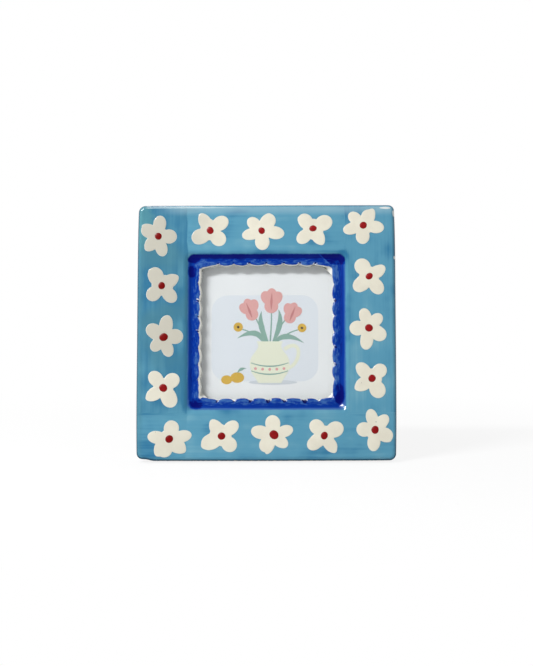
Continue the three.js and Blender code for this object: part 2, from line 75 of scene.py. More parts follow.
# Studio: a pale floor that runs into a white backdrop, an even room, a long lamp above and to the left
# with a strip lamp overhead, and the camera at the photograph's angle, far back with a long lens.
# The room's light and how much more of it comes from the right and from behind, then how bright glossy
# pieces mirror the room in front and behind
ROOM_LIGHT, ROOM_FILL, ROOM_BEHIND = 0.29, 0.5, 1.0
MIRRORED_FRONT, MIRRORED_BEHIND = 0.03, 0.8
KEY_POWER = 17.2
KEY_SIZE = (0.6, 0.17)
KEY_PLACE = (-713, 700, 839)
KEY_ELEVATION = math.radians(54)
STRIP_POWER = 0.7
STRIP_SIZE = (0.06, 0.6)
STRIP_PLACE = (-122, 1140, -292)
STRIP_ELEVATION = math.radians(119)
CAMERA_AZIMUTH, CAMERA_ELEVATION = math.radians(0.84), math.radians(4.59)
CAMERA_ROLL = math.radians(-0.21)
CAMERA_AWAY = 1.4
CAMERA_LENS, CAMERA_SENSOR, CAMERA_SIGHT = 122.9, 36.0, 50.0
CAMERA_AIM = (0.14, -1.05, 0.0)
FLOOR_REACH, FLOOR_SIDES = 4.0, 96
FLOOR_PALE = (0.93, 0.93, 0.93, 1)


class Value:
    """A number, vector or colour that changes over a surface, as the output of a shader node.
    Arithmetic on values adds nodes to their tree."""

    def __init__(self, socket):
        self.socket = socket
        self.tree = socket.id_data

    def __add__(self, other):
        return calc("ADD", self, other)

    def __sub__(self, other):
        return calc("SUBTRACT", self, other)

    def __rsub__(self, other):
        return calc("SUBTRACT", other, self)

    def __mul__(self, other):
        return calc("MULTIPLY", self, other)

    def __abs__(self):
        return calc("ABSOLUTE", self)

    __radd__ = __add__
    __rmul__ = __mul__


class Outputs:
    """The outputs of a shader node as values, by name or number."""

    def __init__(self, made):
        self.sockets = made.outputs

    def __getitem__(self, key):
        return Value(self.sockets[key])


def link(socket, value):
    """Feeds a socket from a value of the same tree, or sets it."""
    if isinstance(value, Value):
        value.tree.links.new(value.socket, socket)
    else:
        socket.default_value = value


def node(tree, kind, inputs=None, **settings):
    """Adds one shader node with its settings and its inputs, by name or number, and gives its outputs."""
    made = tree.nodes.new(f"ShaderNode{kind}")
    for name, value in settings.items():
        setattr(made, name, value)
    for key, value in (inputs or {}).items():
        link(made.inputs[key], value)
    return Outputs(made)


def tree_of(values):
    """The tree that the first value among these belongs to."""
    return next(value.tree for value in values if isinstance(value, Value))


def calc(operation, *values):
    """One step of arithmetic on values and plain numbers."""
    return node(tree_of(values), "Math", dict(enumerate(values)), operation=operation)[0]


def most(value, other):
    """The larger of two values."""
    return calc("MAXIMUM", value, other)


def fade(value, start, end):
    """0 at start and 1 at end with a smooth change between; start may be the larger one."""
    inputs = {"Value": value, "From Min": start, "From Max": end}
    return node(value.tree, "MapRange", inputs, interpolation_type="SMOOTHSTEP")[0]


def far(vector):
    """Length of a vector."""
    return node(vector.tree, "VectorMath", {0: vector}, operation="LENGTH")["Value"]


def parts(vector):
    """The three parts of a vector."""
    return node(vector.tree, "SeparateXYZ", {0: vector})


def direction(azimuth, elevation):
    """Unit vector from the face towards a lamp or camera, azimuth 0 being straight in front."""
    flat = math.cos(elevation)
    return np.array((math.sin(azimuth) * flat, -math.cos(azimuth) * flat, math.sin(elevation)))


def aimed(data, place, azimuth, elevation, roll=0.0):
    """Puts a lamp or camera at a place, looking back against its azimuth and elevation."""
    made = bpy.data.objects.new(data.name, data)
    scene.collection.objects.link(made)
    made.location = place
    made.rotation_euler = (math.pi / 2 - elevation, 0, azimuth)
    made.rotation_euler.rotate_axis("Z", roll)
    return made


def lamp(name, place, elevation, size, power):
    """A rectangular lamp with its long or short side level, at a place in face axes."""
    made = bpy.data.lights.new(name, "AREA")
    made.shape = "RECTANGLE"
    made.size, made.size_y = size
    made.energy = power
    return aimed(made, lean(place), 0.0, elevation)


camera_data = bpy.data.cameras.new("camera")
camera_data.lens = CAMERA_LENS
camera_data.sensor_width = CAMERA_SENSOR
camera_data.clip_end = CAMERA_SIGHT
camera_place = lean(CAMERA_AIM) + direction(CAMERA_AZIMUTH, CAMERA_ELEVATION) * CAMERA_AWAY
scene.camera = aimed(camera_data, camera_place, CAMERA_AZIMUTH, CAMERA_ELEVATION, CAMERA_ROLL)
lamp("key_lamp", KEY_PLACE, KEY_ELEVATION, KEY_SIZE, KEY_POWER)
lamp("strip_lamp", STRIP_PLACE, STRIP_ELEVATION, STRIP_SIZE, STRIP_POWER)


def seen_direct(tree):
    """1 for the rays straight from the camera, and 1 for those that a glossy surface mirrors."""
    path = node(tree, "LightPath")
    through = 1.0 - path["Is Transmission Ray"]
    return path["Is Camera Ray"], path["Is Glossy Ray"] * through


room = bpy.data.worlds.new("room")
scene.world = room
room.use_nodes = True
room_tree = room.node_tree
right, ahead, _ = parts(node(room_tree, "TexCoord")["Generated"])
behind = fade(ahead, -0.1, 0.3)
by_camera, by_mirror = seen_direct(room_tree)
mirrored = MIRRORED_FRONT + behind * (MIRRORED_BEHIND - MIRRORED_FRONT)
level = ROOM_LIGHT + right * ROOM_LIGHT * ROOM_FILL
level += behind * ROOM_LIGHT * ROOM_BEHIND
level += by_mirror * (mirrored - level)
level = most(by_camera, level)
link(room_tree.nodes["Background"].inputs["Strength"], level)
room_tree.nodes["Background"].inputs["Color"].default_value = (1, 1, 1, 1)


def coating(name, **sockets):
    """A material, its node tree and the sockets of its shader, with the even values set on them."""
    made = bpy.data.materials.new(name)
    made.use_nodes = True
    shader = made.node_tree.nodes["Principled BSDF"]
    for socket, value in sockets.items():
        shader.inputs[socket.replace("_", " ")].default_value = value
    return made, made.node_tree, shader.inputs


def once_round(count):
    """Evenly spaced angles once round."""
    return np.linspace(0, 2 * np.pi, count, endpoint=False)


floor_finish, floor_tree, floor_sockets = coating("pale_floor", Roughness=0.9)
floor_sockets["Base Color"].default_value = FLOOR_PALE
by_camera, by_mirror = seen_direct(floor_tree)
spot = node(floor_tree, "TexCoord")["Object"]
behind = fade(parts(spot)["Y"], 0.0, 0.1)
mirrored = MIRRORED_FRONT - 1 + behind * (MIRRORED_BEHIND - MIRRORED_FRONT)
shown = 1.0 + by_mirror * mirrored
backdrop = node(floor_tree, "Emission", {"Strength": shown})
lost = 0.85 + 0.15 * fade(far(spot), 0.12, 0.4)
share = by_mirror + by_camera * lost
plain = Outputs(floor_tree.nodes["Principled BSDF"])[0]
mixed = node(floor_tree, "MixShader", {0: share, 1: plain, 2: backdrop[0]})
link(floor_tree.nodes["Material Output"].inputs["Surface"], mixed[0])
floor_turn = once_round(FLOOR_SIDES)
floor_rim = np.stack((np.cos(floor_turn), np.sin(floor_turn), 0 * floor_turn), -1) * FLOOR_REACH
floor_mesh = bpy.data.meshes.new("floor")
floor_mesh.from_pydata(floor_rim.tolist(), [], [list(range(FLOOR_SIDES))])
floor_mesh.materials.append(floor_finish)
floor = bpy.data.objects.new("floor", floor_mesh)
scene.collection.objects.link(floor)


# Ceramic body: one slip casting, brushed with blue glaze on the border and cobalt on the band, the
# glaze thin and white along the scalloped lip. Back and seat are bare, and the foot is ground flat.
WINDOW_HALF = 42.0
SCALLOPS = 8
# How far each cusp strays along its side: upwards on the right, leftwards on the top, downwards on the
# left and rightwards on the bottom
CUSP_STRAY = (
    (0.3, -0.4, 0.5, -0.2, 0.4, -0.5, 0.3), (-0.4, -0.9, -1.0, 0.0, 0.5, 0.4, 0.0),
    (-0.3, 0.4, 0.2, -0.5, 0.3, 0.5, -0.2), (-0.2, 0.0, 0.2, 1.1, 1.0, 3.4, 2.6),
)
SIDE_STEPS, CORNER_STEPS = 200, 12
LOOP_STEP = 0.5  # along a loop, from one point to the next
# Half width of the dark pit at each cusp, in the same order
CUSP_PITS = (
    (0.2, 0.4, 0.6, 0.1, 0.1, 0.7, 0.2), (0.6, 0.6, 0.5, 0.6, 0.7, 0.2, 0.5),
    (0.2, 0.45, 0.45, 0.35, 0.25, 0.2, 0.2), (0.8, 0.6, 1.1, 1.4, 1.1, 1.5, 0.3),
)
# For the right, top, left and bottom lip: how far it came out towards the middle, how much further at
# its ends, how far its scallops swell beyond that, the width of its white edge, and how much wider
# that is at the cusps
LIP_SHIFT = (0.9, -0.1, 2.0, 0.4)
LIP_BOW = (0.0, 0.8, 0.0, 0.0)
LIP_WAVE = (1.1, 1.1, 0.9, 1.1)
LIP_ROUND = (0.85, 1.0, 1.5, 0.8)  # below 1 full arches and sharp cusps, above 1 soft waves
LIP_BARE = (0.55, 0.95, 1.5, 0.6)
LIP_WIDER = (0.15, 0.0, 0.0, 0.9)
NICK, NICK_DROP, NICK_HALF, WIDER_HALF = 0.25, 0.6, 0.7, 1.5  # at each cusp
BLUE_DARK, BLUE, BLUE_LIGHT = (48, 114, 154), (90, 152, 179), (120, 172, 190)
TEAL, SEA_GREEN = (78, 130, 146), (92, 150, 156)
COBALT_DARK, COBALT, COBALT_LIGHT = (0, 12, 110), (0, 52, 152), (62, 106, 172)
LIP_WHITE = (236, 236, 231)
# Bare clay, and the grey of the painted shade on the lip's white and the inner wall
BARE_CLAY, SHADE_GREY = (214, 204, 186), (122, 124, 112)
PIT = (4, 14, 84)
# The dark blue is painted shade on the rim round the wall; the pale is a painted highlight on the upper
# edge
RIM_SHADE, HIGHLIGHT_PALE = (34, 74, 98), (198, 220, 224)
EDGE_PLACE = 37.9  # way from the lip's edge to the border's outer edge
FACE_HALF, FACE_CORNER = 80.0, 4.5
# Half size, corner radius and depth, with the share of the scallops' swell and their rise there
BODY_BACK = [
    (76.0, 1.7, -15.0), (77.6, 3.5, -15.0), (78.0, 3.9, -14.92), (78.35, 4.25, -14.65),
    (78.55, 4.45, -14.3), (78.6, 4.5, -14.0), (79.1, 4.5, -10.0), (79.6, 4.5, -6.0),
]
BODY_SHOULDER = 2.8
BODY_BAND = [
    (51.6, 4.6, 0.0), (51.0, 4.5, -0.03), (50.4, 4.4, -0.13), (49.8, 4.3, -0.34), (49.3, 4.2, -0.6),
    (48.8, 4.1, -0.92), (48.3, 4.0, -1.27), (47.8, 3.9, -1.62), (47.3, 3.8, -1.96), (46.8, 3.7, -2.24),
    (46.3, 3.6, -2.44), (45.8, 3.5, -2.55),
]
BODY_LIP = [
    (45.3, 3.4, -2.58, 0.0, 0.05), (44.8, 3.4, -2.55, 0.12, 0.1), (44.3, 3.4, -2.5, 0.28, 0.2),
    (43.8, 3.4, -2.45, 0.48, 0.3), (43.3, 3.4, -2.48, 0.72, 0.35), (42.95, 3.4, -2.6, 0.88, 0.3),
    (42.7, 3.4, -2.85, 0.96, 0.2), (42.55, 3.4, -3.2, 1.0, 0.1), (42.5, 3.4, -3.6, 1.0, 0.0),
]
BODY_INSIDE = [
    (42.5, 3.4, -4.6, 1.0), (42.5, 3.4, -5.4, 1.0), (42.6, 3.4, -5.85, 0.96), (42.9, 3.4, -6.0, 0.8),
    (43.5, 3.0, -6.0, 0.4), (45.0, 1.2, -6.0), (45.0, 1.2, -9.3), (49.5, 3.95, -9.3), (49.5, 3.95, -5.5),
    (74.5, 1.7, -5.5), (74.5, 1.7, -9.3), (76.0, 1.7, -9.3),
]
# How far the right, top, left and bottom side draw in towards their ends, and for each corner, from the
# upper right turning left, how much rounder it came out and how much clay fills it inside the window
SIDE_BOW = (0.5, 0.1, 0.4, 0.2)
CORNER_MORE = (-0.75, -0.1, -0.75, -0.3)
CORNER_FILL = (4.2, 1.5, 3.5, 3.0)
# Depth from which that clay grows, over which run, and how softly it blends. Half sizes from which the
# border, the outer edge and the warp count, and their runs. The dent's height, start, run and upper end
FILL_START, FILL_RUN, FILL_SOFT = -3.4, 2.0, 0.8
BORDER_FROM, BORDER_RUN, OUTER_FROM, OUTER_RUN = 51.6, 25.6, 76.0, 1.2
WARP, WARP_MORE, WARP_FROM, WARP_RUN = 0.0016, 0.0011, 49.0, 31.0
DENT, DENT_FROM, DENT_RUN, DENT_BELOW = 1.0, -68.5, 6.0, -60.0
BORDER_WAVE, BARE_WOBBLE = 0.07, 0.15


def paint(red, green, blue):
    """A colour from 0 to 255 as the eye sees it, to the linear one that a shader takes."""
    seen = np.array((red, green, blue)) / 255
    plain_light = np.where(seen > 0.04045, ((seen + 0.055) / 1.055) ** 2.4, seen / 12.92)
    return (*plain_light.tolist(), 1.0)


def circle(turn):
    """Points of the unit circle at these angles."""
    return np.stack((np.cos(turn), np.sin(turn)), -1)


def wander(count, waves, seed):
    """A smooth closed wobble between -1 and 1: a sum of a few waves with drawn phases."""
    draw = np.random.default_rng(seed)
    turn = once_round(count)
    orders = np.arange(1, waves + 1)
    sizes = draw.uniform(0.4, 1, waves) / np.sqrt(orders)
    phases = draw.uniform(0, 2 * np.pi, waves)
    sum_of_waves = (sizes[:, None] * np.sin(orders[:, None] * turn + phases[:, None])).sum(0)
    return sum_of_waves / np.abs(sum_of_waves).max()


def ring_faces(rows, count, wrap):
    """Quads between neighbouring loops of points; with wrap the last loop joins the first."""
    here = np.arange(rows if wrap else rows - 1)[:, None] * count
    after = (here + count) % (rows * count)
    along = np.arange(count)[None, :]
    beyond = (along + 1) % count
    return np.stack((here + along, here + beyond, after + beyond, after + along), -1).reshape(-1, 4)


def outwards(points, faces):
    """Faces in the order that looks outwards: turned round if the volume they enclose is negative."""
    corners = np.asarray([face[:3] for face in faces])
    closing = np.asarray([(face[0], face[2], face[-1]) for face in faces])
    a, b, c = (points[np.concatenate((corners, closing))[:, k]] for k in range(3))
    volume = np.einsum("ij,ij->i", a - points.mean(0), np.cross(b - points.mean(0), c - points.mean(0)))
    return [face[::-1] for face in faces] if volume.sum() < 0 else faces


def piece(name, points, faces, finish, crease=35, **marks):
    """A mesh object in the row's frame, smooth up to the crease angle, with its marks as attributes."""
    faces = outwards(points, [list(face) for face in faces])
    mesh = bpy.data.meshes.new(name)
    mesh.from_pydata(points.tolist(), [], faces)
    mesh.materials.append(finish)
    mesh.shade_smooth()
    mesh.set_sharp_from_angle(angle=math.radians(crease))
    kinds = {1: ("FLOAT", "value"), 3: ("FLOAT_VECTOR", "vector"), 4: ("FLOAT_COLOR", "color")}
    for mark, values in marks.items():
        kind, field = kinds[np.atleast_2d(values.T).shape[0]]
        made = mesh.attributes.new(mark, kind, "POINT")
        made.data.foreach_set(field, np.ascontiguousarray(values, np.float32).ravel())
    made = bpy.data.objects.new(name, mesh)
    scene.collection.objects.link(made)
    return made


def body_loops():
    """Columns of the casting's loops, from the back rim over the face to the window and back: half size,
    corner radius, depth, swell, rise, and the way from the lip's edge, measured over the surface."""
    turn = np.linspace(0, np.pi / 2, 10)
    inset = BODY_SHOULDER * (1 - np.cos(turn))
    shoulder = np.stack((FACE_HALF - inset, FACE_CORNER - inset, BODY_SHOULDER * (np.sin(turn) - 1)), -1)
    border = np.linspace(shoulder[-1], BODY_BAND[0], 16)[1:-1]
    rows = [*BODY_BACK, *shoulder, *border, *BODY_BAND, *BODY_LIP, *BODY_INSIDE]
    table = np.array([(*row, 0, 0)[:5] for row in rows])
    step = np.linalg.norm(np.diff(table[:, [0, 2]], axis=0), axis=1)
    run = np.concatenate(((0,), np.cumsum(step)))
    lip_row = len(rows) - len(BODY_INSIDE) - 1
    return [column[:, None] for column in (*table.T, run[lip_row] - run)]


def scallops(side, share, draw):
    """The scallops of one side: arches between cusps, each a power of a sine times a drawn size. Also the
    way to the nearest cusp in mm, and the half width of its pit."""
    cusps = np.linspace(-1, 1, SCALLOPS + 1)
    cusps[1:-1] += np.array(CUSP_STRAY[side]) / WINDOW_HALF
    phase = np.interp(share, cusps, np.arange(SCALLOPS + 1))
    sizes = np.concatenate(((1,), draw.uniform(0.8, 1.15, SCALLOPS - 2), (1,)))
    size = sizes[np.minimum(phase.astype(int), SCALLOPS - 1)]
    phase = np.where(phase < 1, 0.5 + phase / 2, phase)
    phase = np.where(phase > SCALLOPS - 1, (phase - SCALLOPS + 1) / 2, phase)
    arch = np.abs(np.sin(np.pi * phase)) ** LIP_ROUND[side] * size
    apart = np.abs(share[:, None] - cusps[None, 1:-1])
    return arch, apart.min(1) * WINDOW_HALF, np.array(CUSP_PITS[side])[apart.argmin(1)]


def side_outline(side, half, corner, share, arc):
    """One side of every loop and the corner after it, outwards and along. Towards its ends a side draws in
    by its bow times the sixth power of the way from its middle."""
    border = np.clip((half - BORDER_FROM) / BORDER_RUN, 0, 1)
    outermost = np.clip((half - OUTER_FROM) / OUTER_RUN, 0, 1)
    before, after = (corner + border * CORNER_MORE[turned % 4] for turned in (side - 1, side))
    sides = (side, side - 1, side + 1)
    bow, bow_before, bow_after = (outermost * SIDE_BOW[beside % 4] for beside in sides)
    reach = np.where(share < 0, half - bow_before - before, half - bow_after - after)
    straight = np.stack((half - bow * np.abs(share) ** 6, share * reach), -1)
    outwards_bend = half - bow - after * (1 - np.cos(arc))
    along_bend = half - bow_after - after * (1 - np.sin(arc))
    return np.concatenate((straight, np.stack((outwards_bend, along_bend), -1)), 1)


def lip_inwards(side, share, arch, nick):
    """How far the lip comes in along one side: its shift, its bow and its scallops, less the nick at each
    cusp. At both ends it runs over into the mean of the two sides that meet there."""
    ends = np.sum((LIP_SHIFT, LIP_BOW, LIP_WAVE), axis=0)
    start, end = ((ends[side] + ends[beside % 4]) / 2 for beside in (side - 1, side + 1))
    inwards = LIP_SHIFT[side] + LIP_BOW[side] * np.abs(share) ** 3 + LIP_WAVE[side] * arch - NICK * nick
    inwards += np.clip(np.abs(share) * 10 - 9, 0, 1) * (np.where(share < 0, start, end) - inwards)
    return inwards, end


def fill_corners(flat, depth, swell):
    """Clay left in the window's corners: behind the lip, what lies past a diagonal across the corner is
    drawn back to it, softly."""
    way = np.abs(flat).sum(-1)
    peak = way[:, SIDE_STEPS + CORNER_STEPS // 2::flat.shape[1] // 4]
    x, y = flat[..., 0], flat[..., 1]
    corner = np.where(y > 0, np.where(x > 0, 0, 1), np.where(x < 0, 2, 3))
    filled = swell * np.clip((FILL_START - depth) / FILL_RUN, 0, 1) * np.array(CORNER_FILL)
    over = np.maximum(way - np.take_along_axis(peak - filled, corner, 1), 0)
    over = np.where(np.take_along_axis(filled, corner, 1) > 0, over**2 / (over + FILL_SOFT), 0)
    return flat - np.sign(flat) * (over / 2)[..., None]


def warped(flat, half):
    """The outside shrunk unevenly by a small share, and the lower edge pressed up at its left end, the
    dent running out in a smooth step."""
    outer = np.clip((half - WARP_FROM) / WARP_RUN, 0, 1)
    flat = flat * (1 - outer[..., None] * (WARP + WARP_MORE * wander(flat.shape[1], 9, 7))[None, :, None])
    dented = np.clip((DENT_FROM - flat[..., 0]) / DENT_RUN, 0, 1)
    dented = dented**2 * (3 - 2 * dented) * (flat[..., 1] < DENT_BELOW)
    flat[..., 1] += DENT * outer * dented
    return flat


def cast_body():
    """Square loops with round corners, skinned one after the other and closed on themselves.

    A loop's four sides are turned into place by quarter turns. Each moves inwards by its swell times the
    lip, and forwards by its rise times the arches less the nicks.
    """
    half, corner, depth, swell, rise, travel = body_loops()
    draw = np.random.default_rng(4)
    share = np.linspace(-1, 1, SIDE_STEPS + 1)
    arc = np.linspace(0, np.pi / 2, CORNER_STEPS + 1)[1:-1]
    facing = np.concatenate((np.tile((1, 0), (len(share), 1)), circle(arc)))
    loops, lips = [], []
    for side, (cos, sin) in enumerate(((1, 0), (0, 1), (-1, 0), (0, -1))):
        arch, away, pit = scallops(side, share, draw)
        nick = np.exp(-((away / NICK_HALF) ** 2))
        bare = LIP_BARE[side] + LIP_WIDER[side] * np.exp(-((away / WIDER_HALF) ** 2))
        # Round the corner: a full arch, no nick, far from any cusp, no pit and an even white edge
        in_corner = np.tile([[1], [0], [9], [0], [LIP_BARE[side]]], len(arc))
        lips.append(np.concatenate((np.stack((arch, nick, away, pit, bare)), in_corner), 1))
        inwards, end = lip_inwards(side, share, arch, nick)
        inwards = np.concatenate((inwards, np.full(len(arc), end)))
        flat = side_outline(side, half, corner, share, arc) - (swell * inwards)[..., None] * facing
        out, up = flat[..., 0], flat[..., 1]
        loops.append(np.stack((out * cos - up * sin, out * sin + up * cos), -1))
    arch, nick, stray, well, bare = np.concatenate(lips, 1)
    flat = warped(fill_corners(np.concatenate(loops, 1), depth, swell), half)
    count = flat.shape[1]
    on_border = (depth == 0) & (half < FACE_HALF - 1)
    height = depth + rise * (arch - NICK_DROP * nick)
    height = height + on_border * BORDER_WAVE * (wander(count, 14, 3) - 1)
    points = np.concatenate((flat, height[..., None]), -1).reshape(-1, 3)
    bare = np.convolve(np.tile(bare, 3), np.ones(5) / 5, "same")[count:2 * count]
    bare = bare * (1 + BARE_WOBBLE * wander(count, 60, 11))
    every = np.ones((len(half), 1))
    marks = {"travel": travel + 0 * bare, "cusp": every * stray, "bare": every * bare, "well": every * well,
             "along": every * np.arange(count) * LOOP_STEP}
    marks = {mark: values.ravel() for mark, values in marks.items()}
    return lean(points), ring_faces(len(half), count, True), {"face": points, **marks}


def group(name, inputs, outputs):
    """An empty node group with its named sockets, and its two end nodes."""
    tree = bpy.data.node_groups.new(name, "ShaderNodeTree")
    for socket, kind in inputs.items():
        tree.interface.new_socket(socket, in_out="INPUT", socket_type=f"NodeSocket{kind}")
    for socket, kind in outputs.items():
        tree.interface.new_socket(socket, in_out="OUTPUT", socket_type=f"NodeSocket{kind}")
    given = Outputs(tree.nodes.new("NodeGroupInput"))
    return tree, given, tree.nodes.new("NodeGroupOutput").inputs


def placed(effect, **inputs):
    """Places a node group in the tree of its inputs, and gives its first output."""
    made = tree_of(inputs.values()).nodes.new("ShaderNodeGroup")
    made.node_tree = effect
    for socket, value in inputs.items():
        link(made.inputs[socket], value)
    return Outputs(made)[0]


def noise(vector, scale, detail=2.0, stretch=None):
    """Soft noise between 0 and 1, stretched along an axis where a stretch is given."""
    if stretch:
        vector = node(vector.tree, "VectorMath", {0: vector, 1: stretch}, operation="MULTIPLY")[0]
    return node(vector.tree, "TexNoise", {"Vector": vector, "Scale": scale, "Detail": detail})[0]


def mix(factor, under, over):
    """The under colour where the factor is 0, the over colour where it is 1."""
    colours = [paint(*c) if isinstance(c, tuple) else c for c in (under, over)]
    return node(factor.tree, "Mix", {0: factor, 6: colours[0], 7: colours[1]}, data_type="RGBA")[2]


def attribute(tree, name, output="Fac"):
    """A mark that the mesh carries."""
    return node(tree, "Attribute", attribute_name=name)[output]


def axes(*values):
    """A vector of two or three values."""
    return node(tree_of(values), "CombineXYZ", dict(enumerate(values)))[0]


def oval(vector, x, y, wide, tall):
    """How far a place lies from an oval's middle, as a share of its half width and half height."""
    offset = node(vector.tree, "VectorMath", {0: vector, 1: (x, y, 0)}, operation="SUBTRACT")
    shares = {0: offset[0], 1: (1 / wide, 1 / tall, 0)}
    return far(node(vector.tree, "VectorMath", shares, operation="MULTIPLY")[0])


# Brush strokes: broad watery strokes with finer hair marks in them, x across and y along, in mm
strokes, strokes_in, strokes_out = group("brush_strokes", {"Vector": "Vector"}, {"Tone": "Float"})
broad = noise(strokes_in["Vector"], 1.0, 1.5, (0.16, 0.016, 1))
hairs = noise(strokes_in["Vector"], 1.0, 3.0, (0.75, 0.022, 1))
pools = noise(strokes_in["Vector"], 0.05, 2.0)
tone = 0.46 * broad + 0.24 * hairs
tone += 0.8 * pools
tone = 0.5 + 1.35 * (tone - 0.75)
link(strokes_out["Tone"], tone)

# Fired gloss: the slight waviness of a glaze that has run and set
gloss_takes = {"Vector": "Vector", "Depth": "Float"}
gloss, gloss_in, gloss_out = group("fired_gloss", gloss_takes, {"Normal": "Vector"})
runs = noise(gloss_in["Vector"], 0.11, 2.0)
gloss_bump = node(gloss, "Bump", {"Height": runs, "Strength": gloss_in["Depth"], "Distance": 0.0004})
link(gloss_out["Normal"], gloss_bump[0])

# Kiln specks: a few small dark grains
specks, specks_in, specks_out = group("kiln_specks", {"Vector": "Vector"}, {"Mask": "Float"})
grains = node(specks, "TexVoronoi", {"Vector": specks_in["Vector"], "Scale": 0.12})
near = fade(grains["Distance"], 0.032, 0.018)
chosen = parts(grains["Color"])[0]
link(specks_out["Mask"], near * fade(chosen, 0.6, 0.65))

glaze, tree, sockets = coating("brushed_glaze", IOR=1.5)
face = attribute(tree, "face", "Vector")
travel, cusp, bare, well, along = (
    attribute(tree, mark) for mark in ("travel", "cusp", "bare", "well", "along"))
x, y, z = parts(face)
ragged = noise(face, 0.5, 3.0) - 0.5

# Blue border: upright strokes down both sides, level strokes between them
side_edge = abs(x) + 4.0 * (noise(face, 0.06) - 0.5)
on_side = fade(side_edge, 48.2, 49.4)
upright = on_side * fade(y, -53.0, -50.0)
across = y + upright * (x - y)
lengthways = x + upright * (y - x)
stroke_axes = axes(across, lengthways, 3.0 * upright)
tone = placed(strokes, Vector=stroke_axes)
# Painted shade: the left column darker and more teal, less so at its lower end
left_column_shade = on_side * fade(x, 0.0, -10.0) * most(fade(y, -64.0, -46.0), 0.3)
tone -= 0.32 * left_column_shade
# Painted shade on the border just beside the band: on the left and top, less on the right
beside = most(fade(x, -44.0, -49.0), fade(y, 44.0, 49.0))
beside += 0.6 * fade(x, 44.0, 49.0)
tone -= 0.2 * beside * fade(travel, 11.6, 8.8)
blue = mix(fade(tone, 0.05, 0.5), BLUE_DARK, BLUE)
blue = mix(fade(tone, 0.5, 1.0), blue, BLUE_LIGHT)
greener = fade(noise(face, 0.035, 2.0), 0.4, 0.65)
greener *= fade(x, -30.0, -60.0) * fade(y, -50.0, -10.0)
greener = most(greener, fade(x, -75.0, -79.0))
blue = mix(0.25 * left_column_shade + 0.5 * greener, blue, TEAL)
washed = oval(face, -81.0, 68.0, 12.0, 19.0) + 0.5 * ragged
blue = mix(0.6 * fade(washed, 1.1, 0.7), blue, SEA_GREEN)

# Cobalt band: strokes along the moulding, dark where the glaze pools at the foot of the slope and where
# the strokes overlap in the corners, thinner and mottled towards the lip
band_axes = axes(1.6 * travel, along, 9.0)
tone = 0.07 + 0.4 * placed(strokes, Vector=band_axes)
# Painted light on the lower side of the band, which faces up: lighter on its slope and near the lip
lower = 0.06 + 0.14 * fade(travel, 4.8, 5.8) + 0.18 * fade(travel, 2.8, 1.2)
tone += fade(y, -41.0, -44.0) * lower
tone += 0.26 * fade(travel, 4.4, 1.4)
# The band's outer edge is paler where the glaze runs thin, except along the top, which gets painted shade
# darker out on its slope
at_top = fade(y, 43.4, 45.0)
thinned = fade(travel, 5.0, 7.2) * (1.0 - at_top)
tone += 0.5 * thinned
tone -= 0.24 * at_top * fade(travel, 3.6, 5.0)
haze = fade(noise(face, 0.17, 3.0), 0.42, 0.7) * fade(travel, 5.0, 2.6)
tone += 0.26 * haze
hairs = fade(noise(band_axes, 1.0, 3.0, (0.9, 0.22, 1)), 0.4, 0.72)
hairs = (hairs - 0.35) * fade(travel, 5.6, 3.4)
tone += 0.4 * hairs
curly = {"Vector": face, "Scale": 0.5, "Detail": 4.0, "Distortion": 1.2}
scribble = fade(node(tree, "TexNoise", curly)[0], 0.55, 0.66)
scribble *= fade(travel, 4.6, 3.6)
drawn = at_top * fade(x, -30.0, -20.0) * fade(x, 2.0, -8.0)
tone += scribble * (0.1 + 0.32 * drawn)
diagonal = x + y + ragged
in_corner = fade(y, 41.6, 43.0)
tone -= 0.42 * in_corner * fade(diagonal, 81.7, 82.5)
ridge = fade(diagonal, 80.4, 81.7) * fade(diagonal, 82.5, 81.7)
tone += 0.3 * in_corner * ridge
# Middle and half sizes of the overlaps
OVERLAPS = [
    (-45.0, 46.2, 4.2, 2.8), (-46.0, 37.8, 3.0, 3.6), (-43.2, -44.8, 4.2, 3.6),
    (44.7, -38.6, 3.1, 6.6), (44.9, -41.2, 2.4, 3.4),
]
for overlap in OVERLAPS:
    off = oval(face, *overlap) + 0.5 * ragged
    tone -= 0.5 * fade(off, 1.2, 0.75)
cobalt = mix(fade(tone, -0.1, 0.4), COBALT_DARK, COBALT)
cobalt = mix(fade(tone, 0.38, 0.95), cobalt, COBALT_LIGHT)

# Cusps of the lip: glaze pooled in a dark pit outside the white edge, with a curl of white beside it that
# is partly thin glaze and partly a painted highlight
past_lip = travel - bare + 0.6 * ragged
pit_axes = axes(cusp, 1.4 * travel - 2.2)
pit = far(pit_axes) + 0.8 * ragged - well
curl_across = cusp - well - 0.5
curl_axes = axes(curl_across, past_lip - 0.5)
curl = fade(far(curl_axes), 0.55, 0.25)
curl *= fade(noise(face, 0.3), 0.48, 0.56) * fade(well, 0.25, 0.5)
cobalt = mix(0.8 * curl, cobalt, LIP_WHITE)

# Edges: the band's ragged edge, the white lip and its pits, with painted shade on the lip's white along the
# left and top; a painted highlight along the upper edge; painted shade as a darker rim round the wall;
# painted highlights on the upper right; bare clay on the foot, the back and the glass seat; and painted
# shade on the inner wall under the top lip
farther = most(fade(x, 43.0, 46.0), fade(y, 43.0, 46.0))
band_edge = travel + 0.7 * ragged - 0.3 * farther
colour = mix(fade(band_edge, 7.8, 6.6), blue, cobalt)
# Painted shade: the lip's white greyer along the left and top
shaded = most(fade(x, -38.0, -39.5), fade(y, 39.5, 41.0))
lip_white = mix(0.3 * shaded, LIP_WHITE, SHADE_GREY)
colour = mix(fade(past_lip, 0.15, -0.15), colour, lip_white)
colour = mix(fade(pit, 0.2, -0.1), colour, PIT)
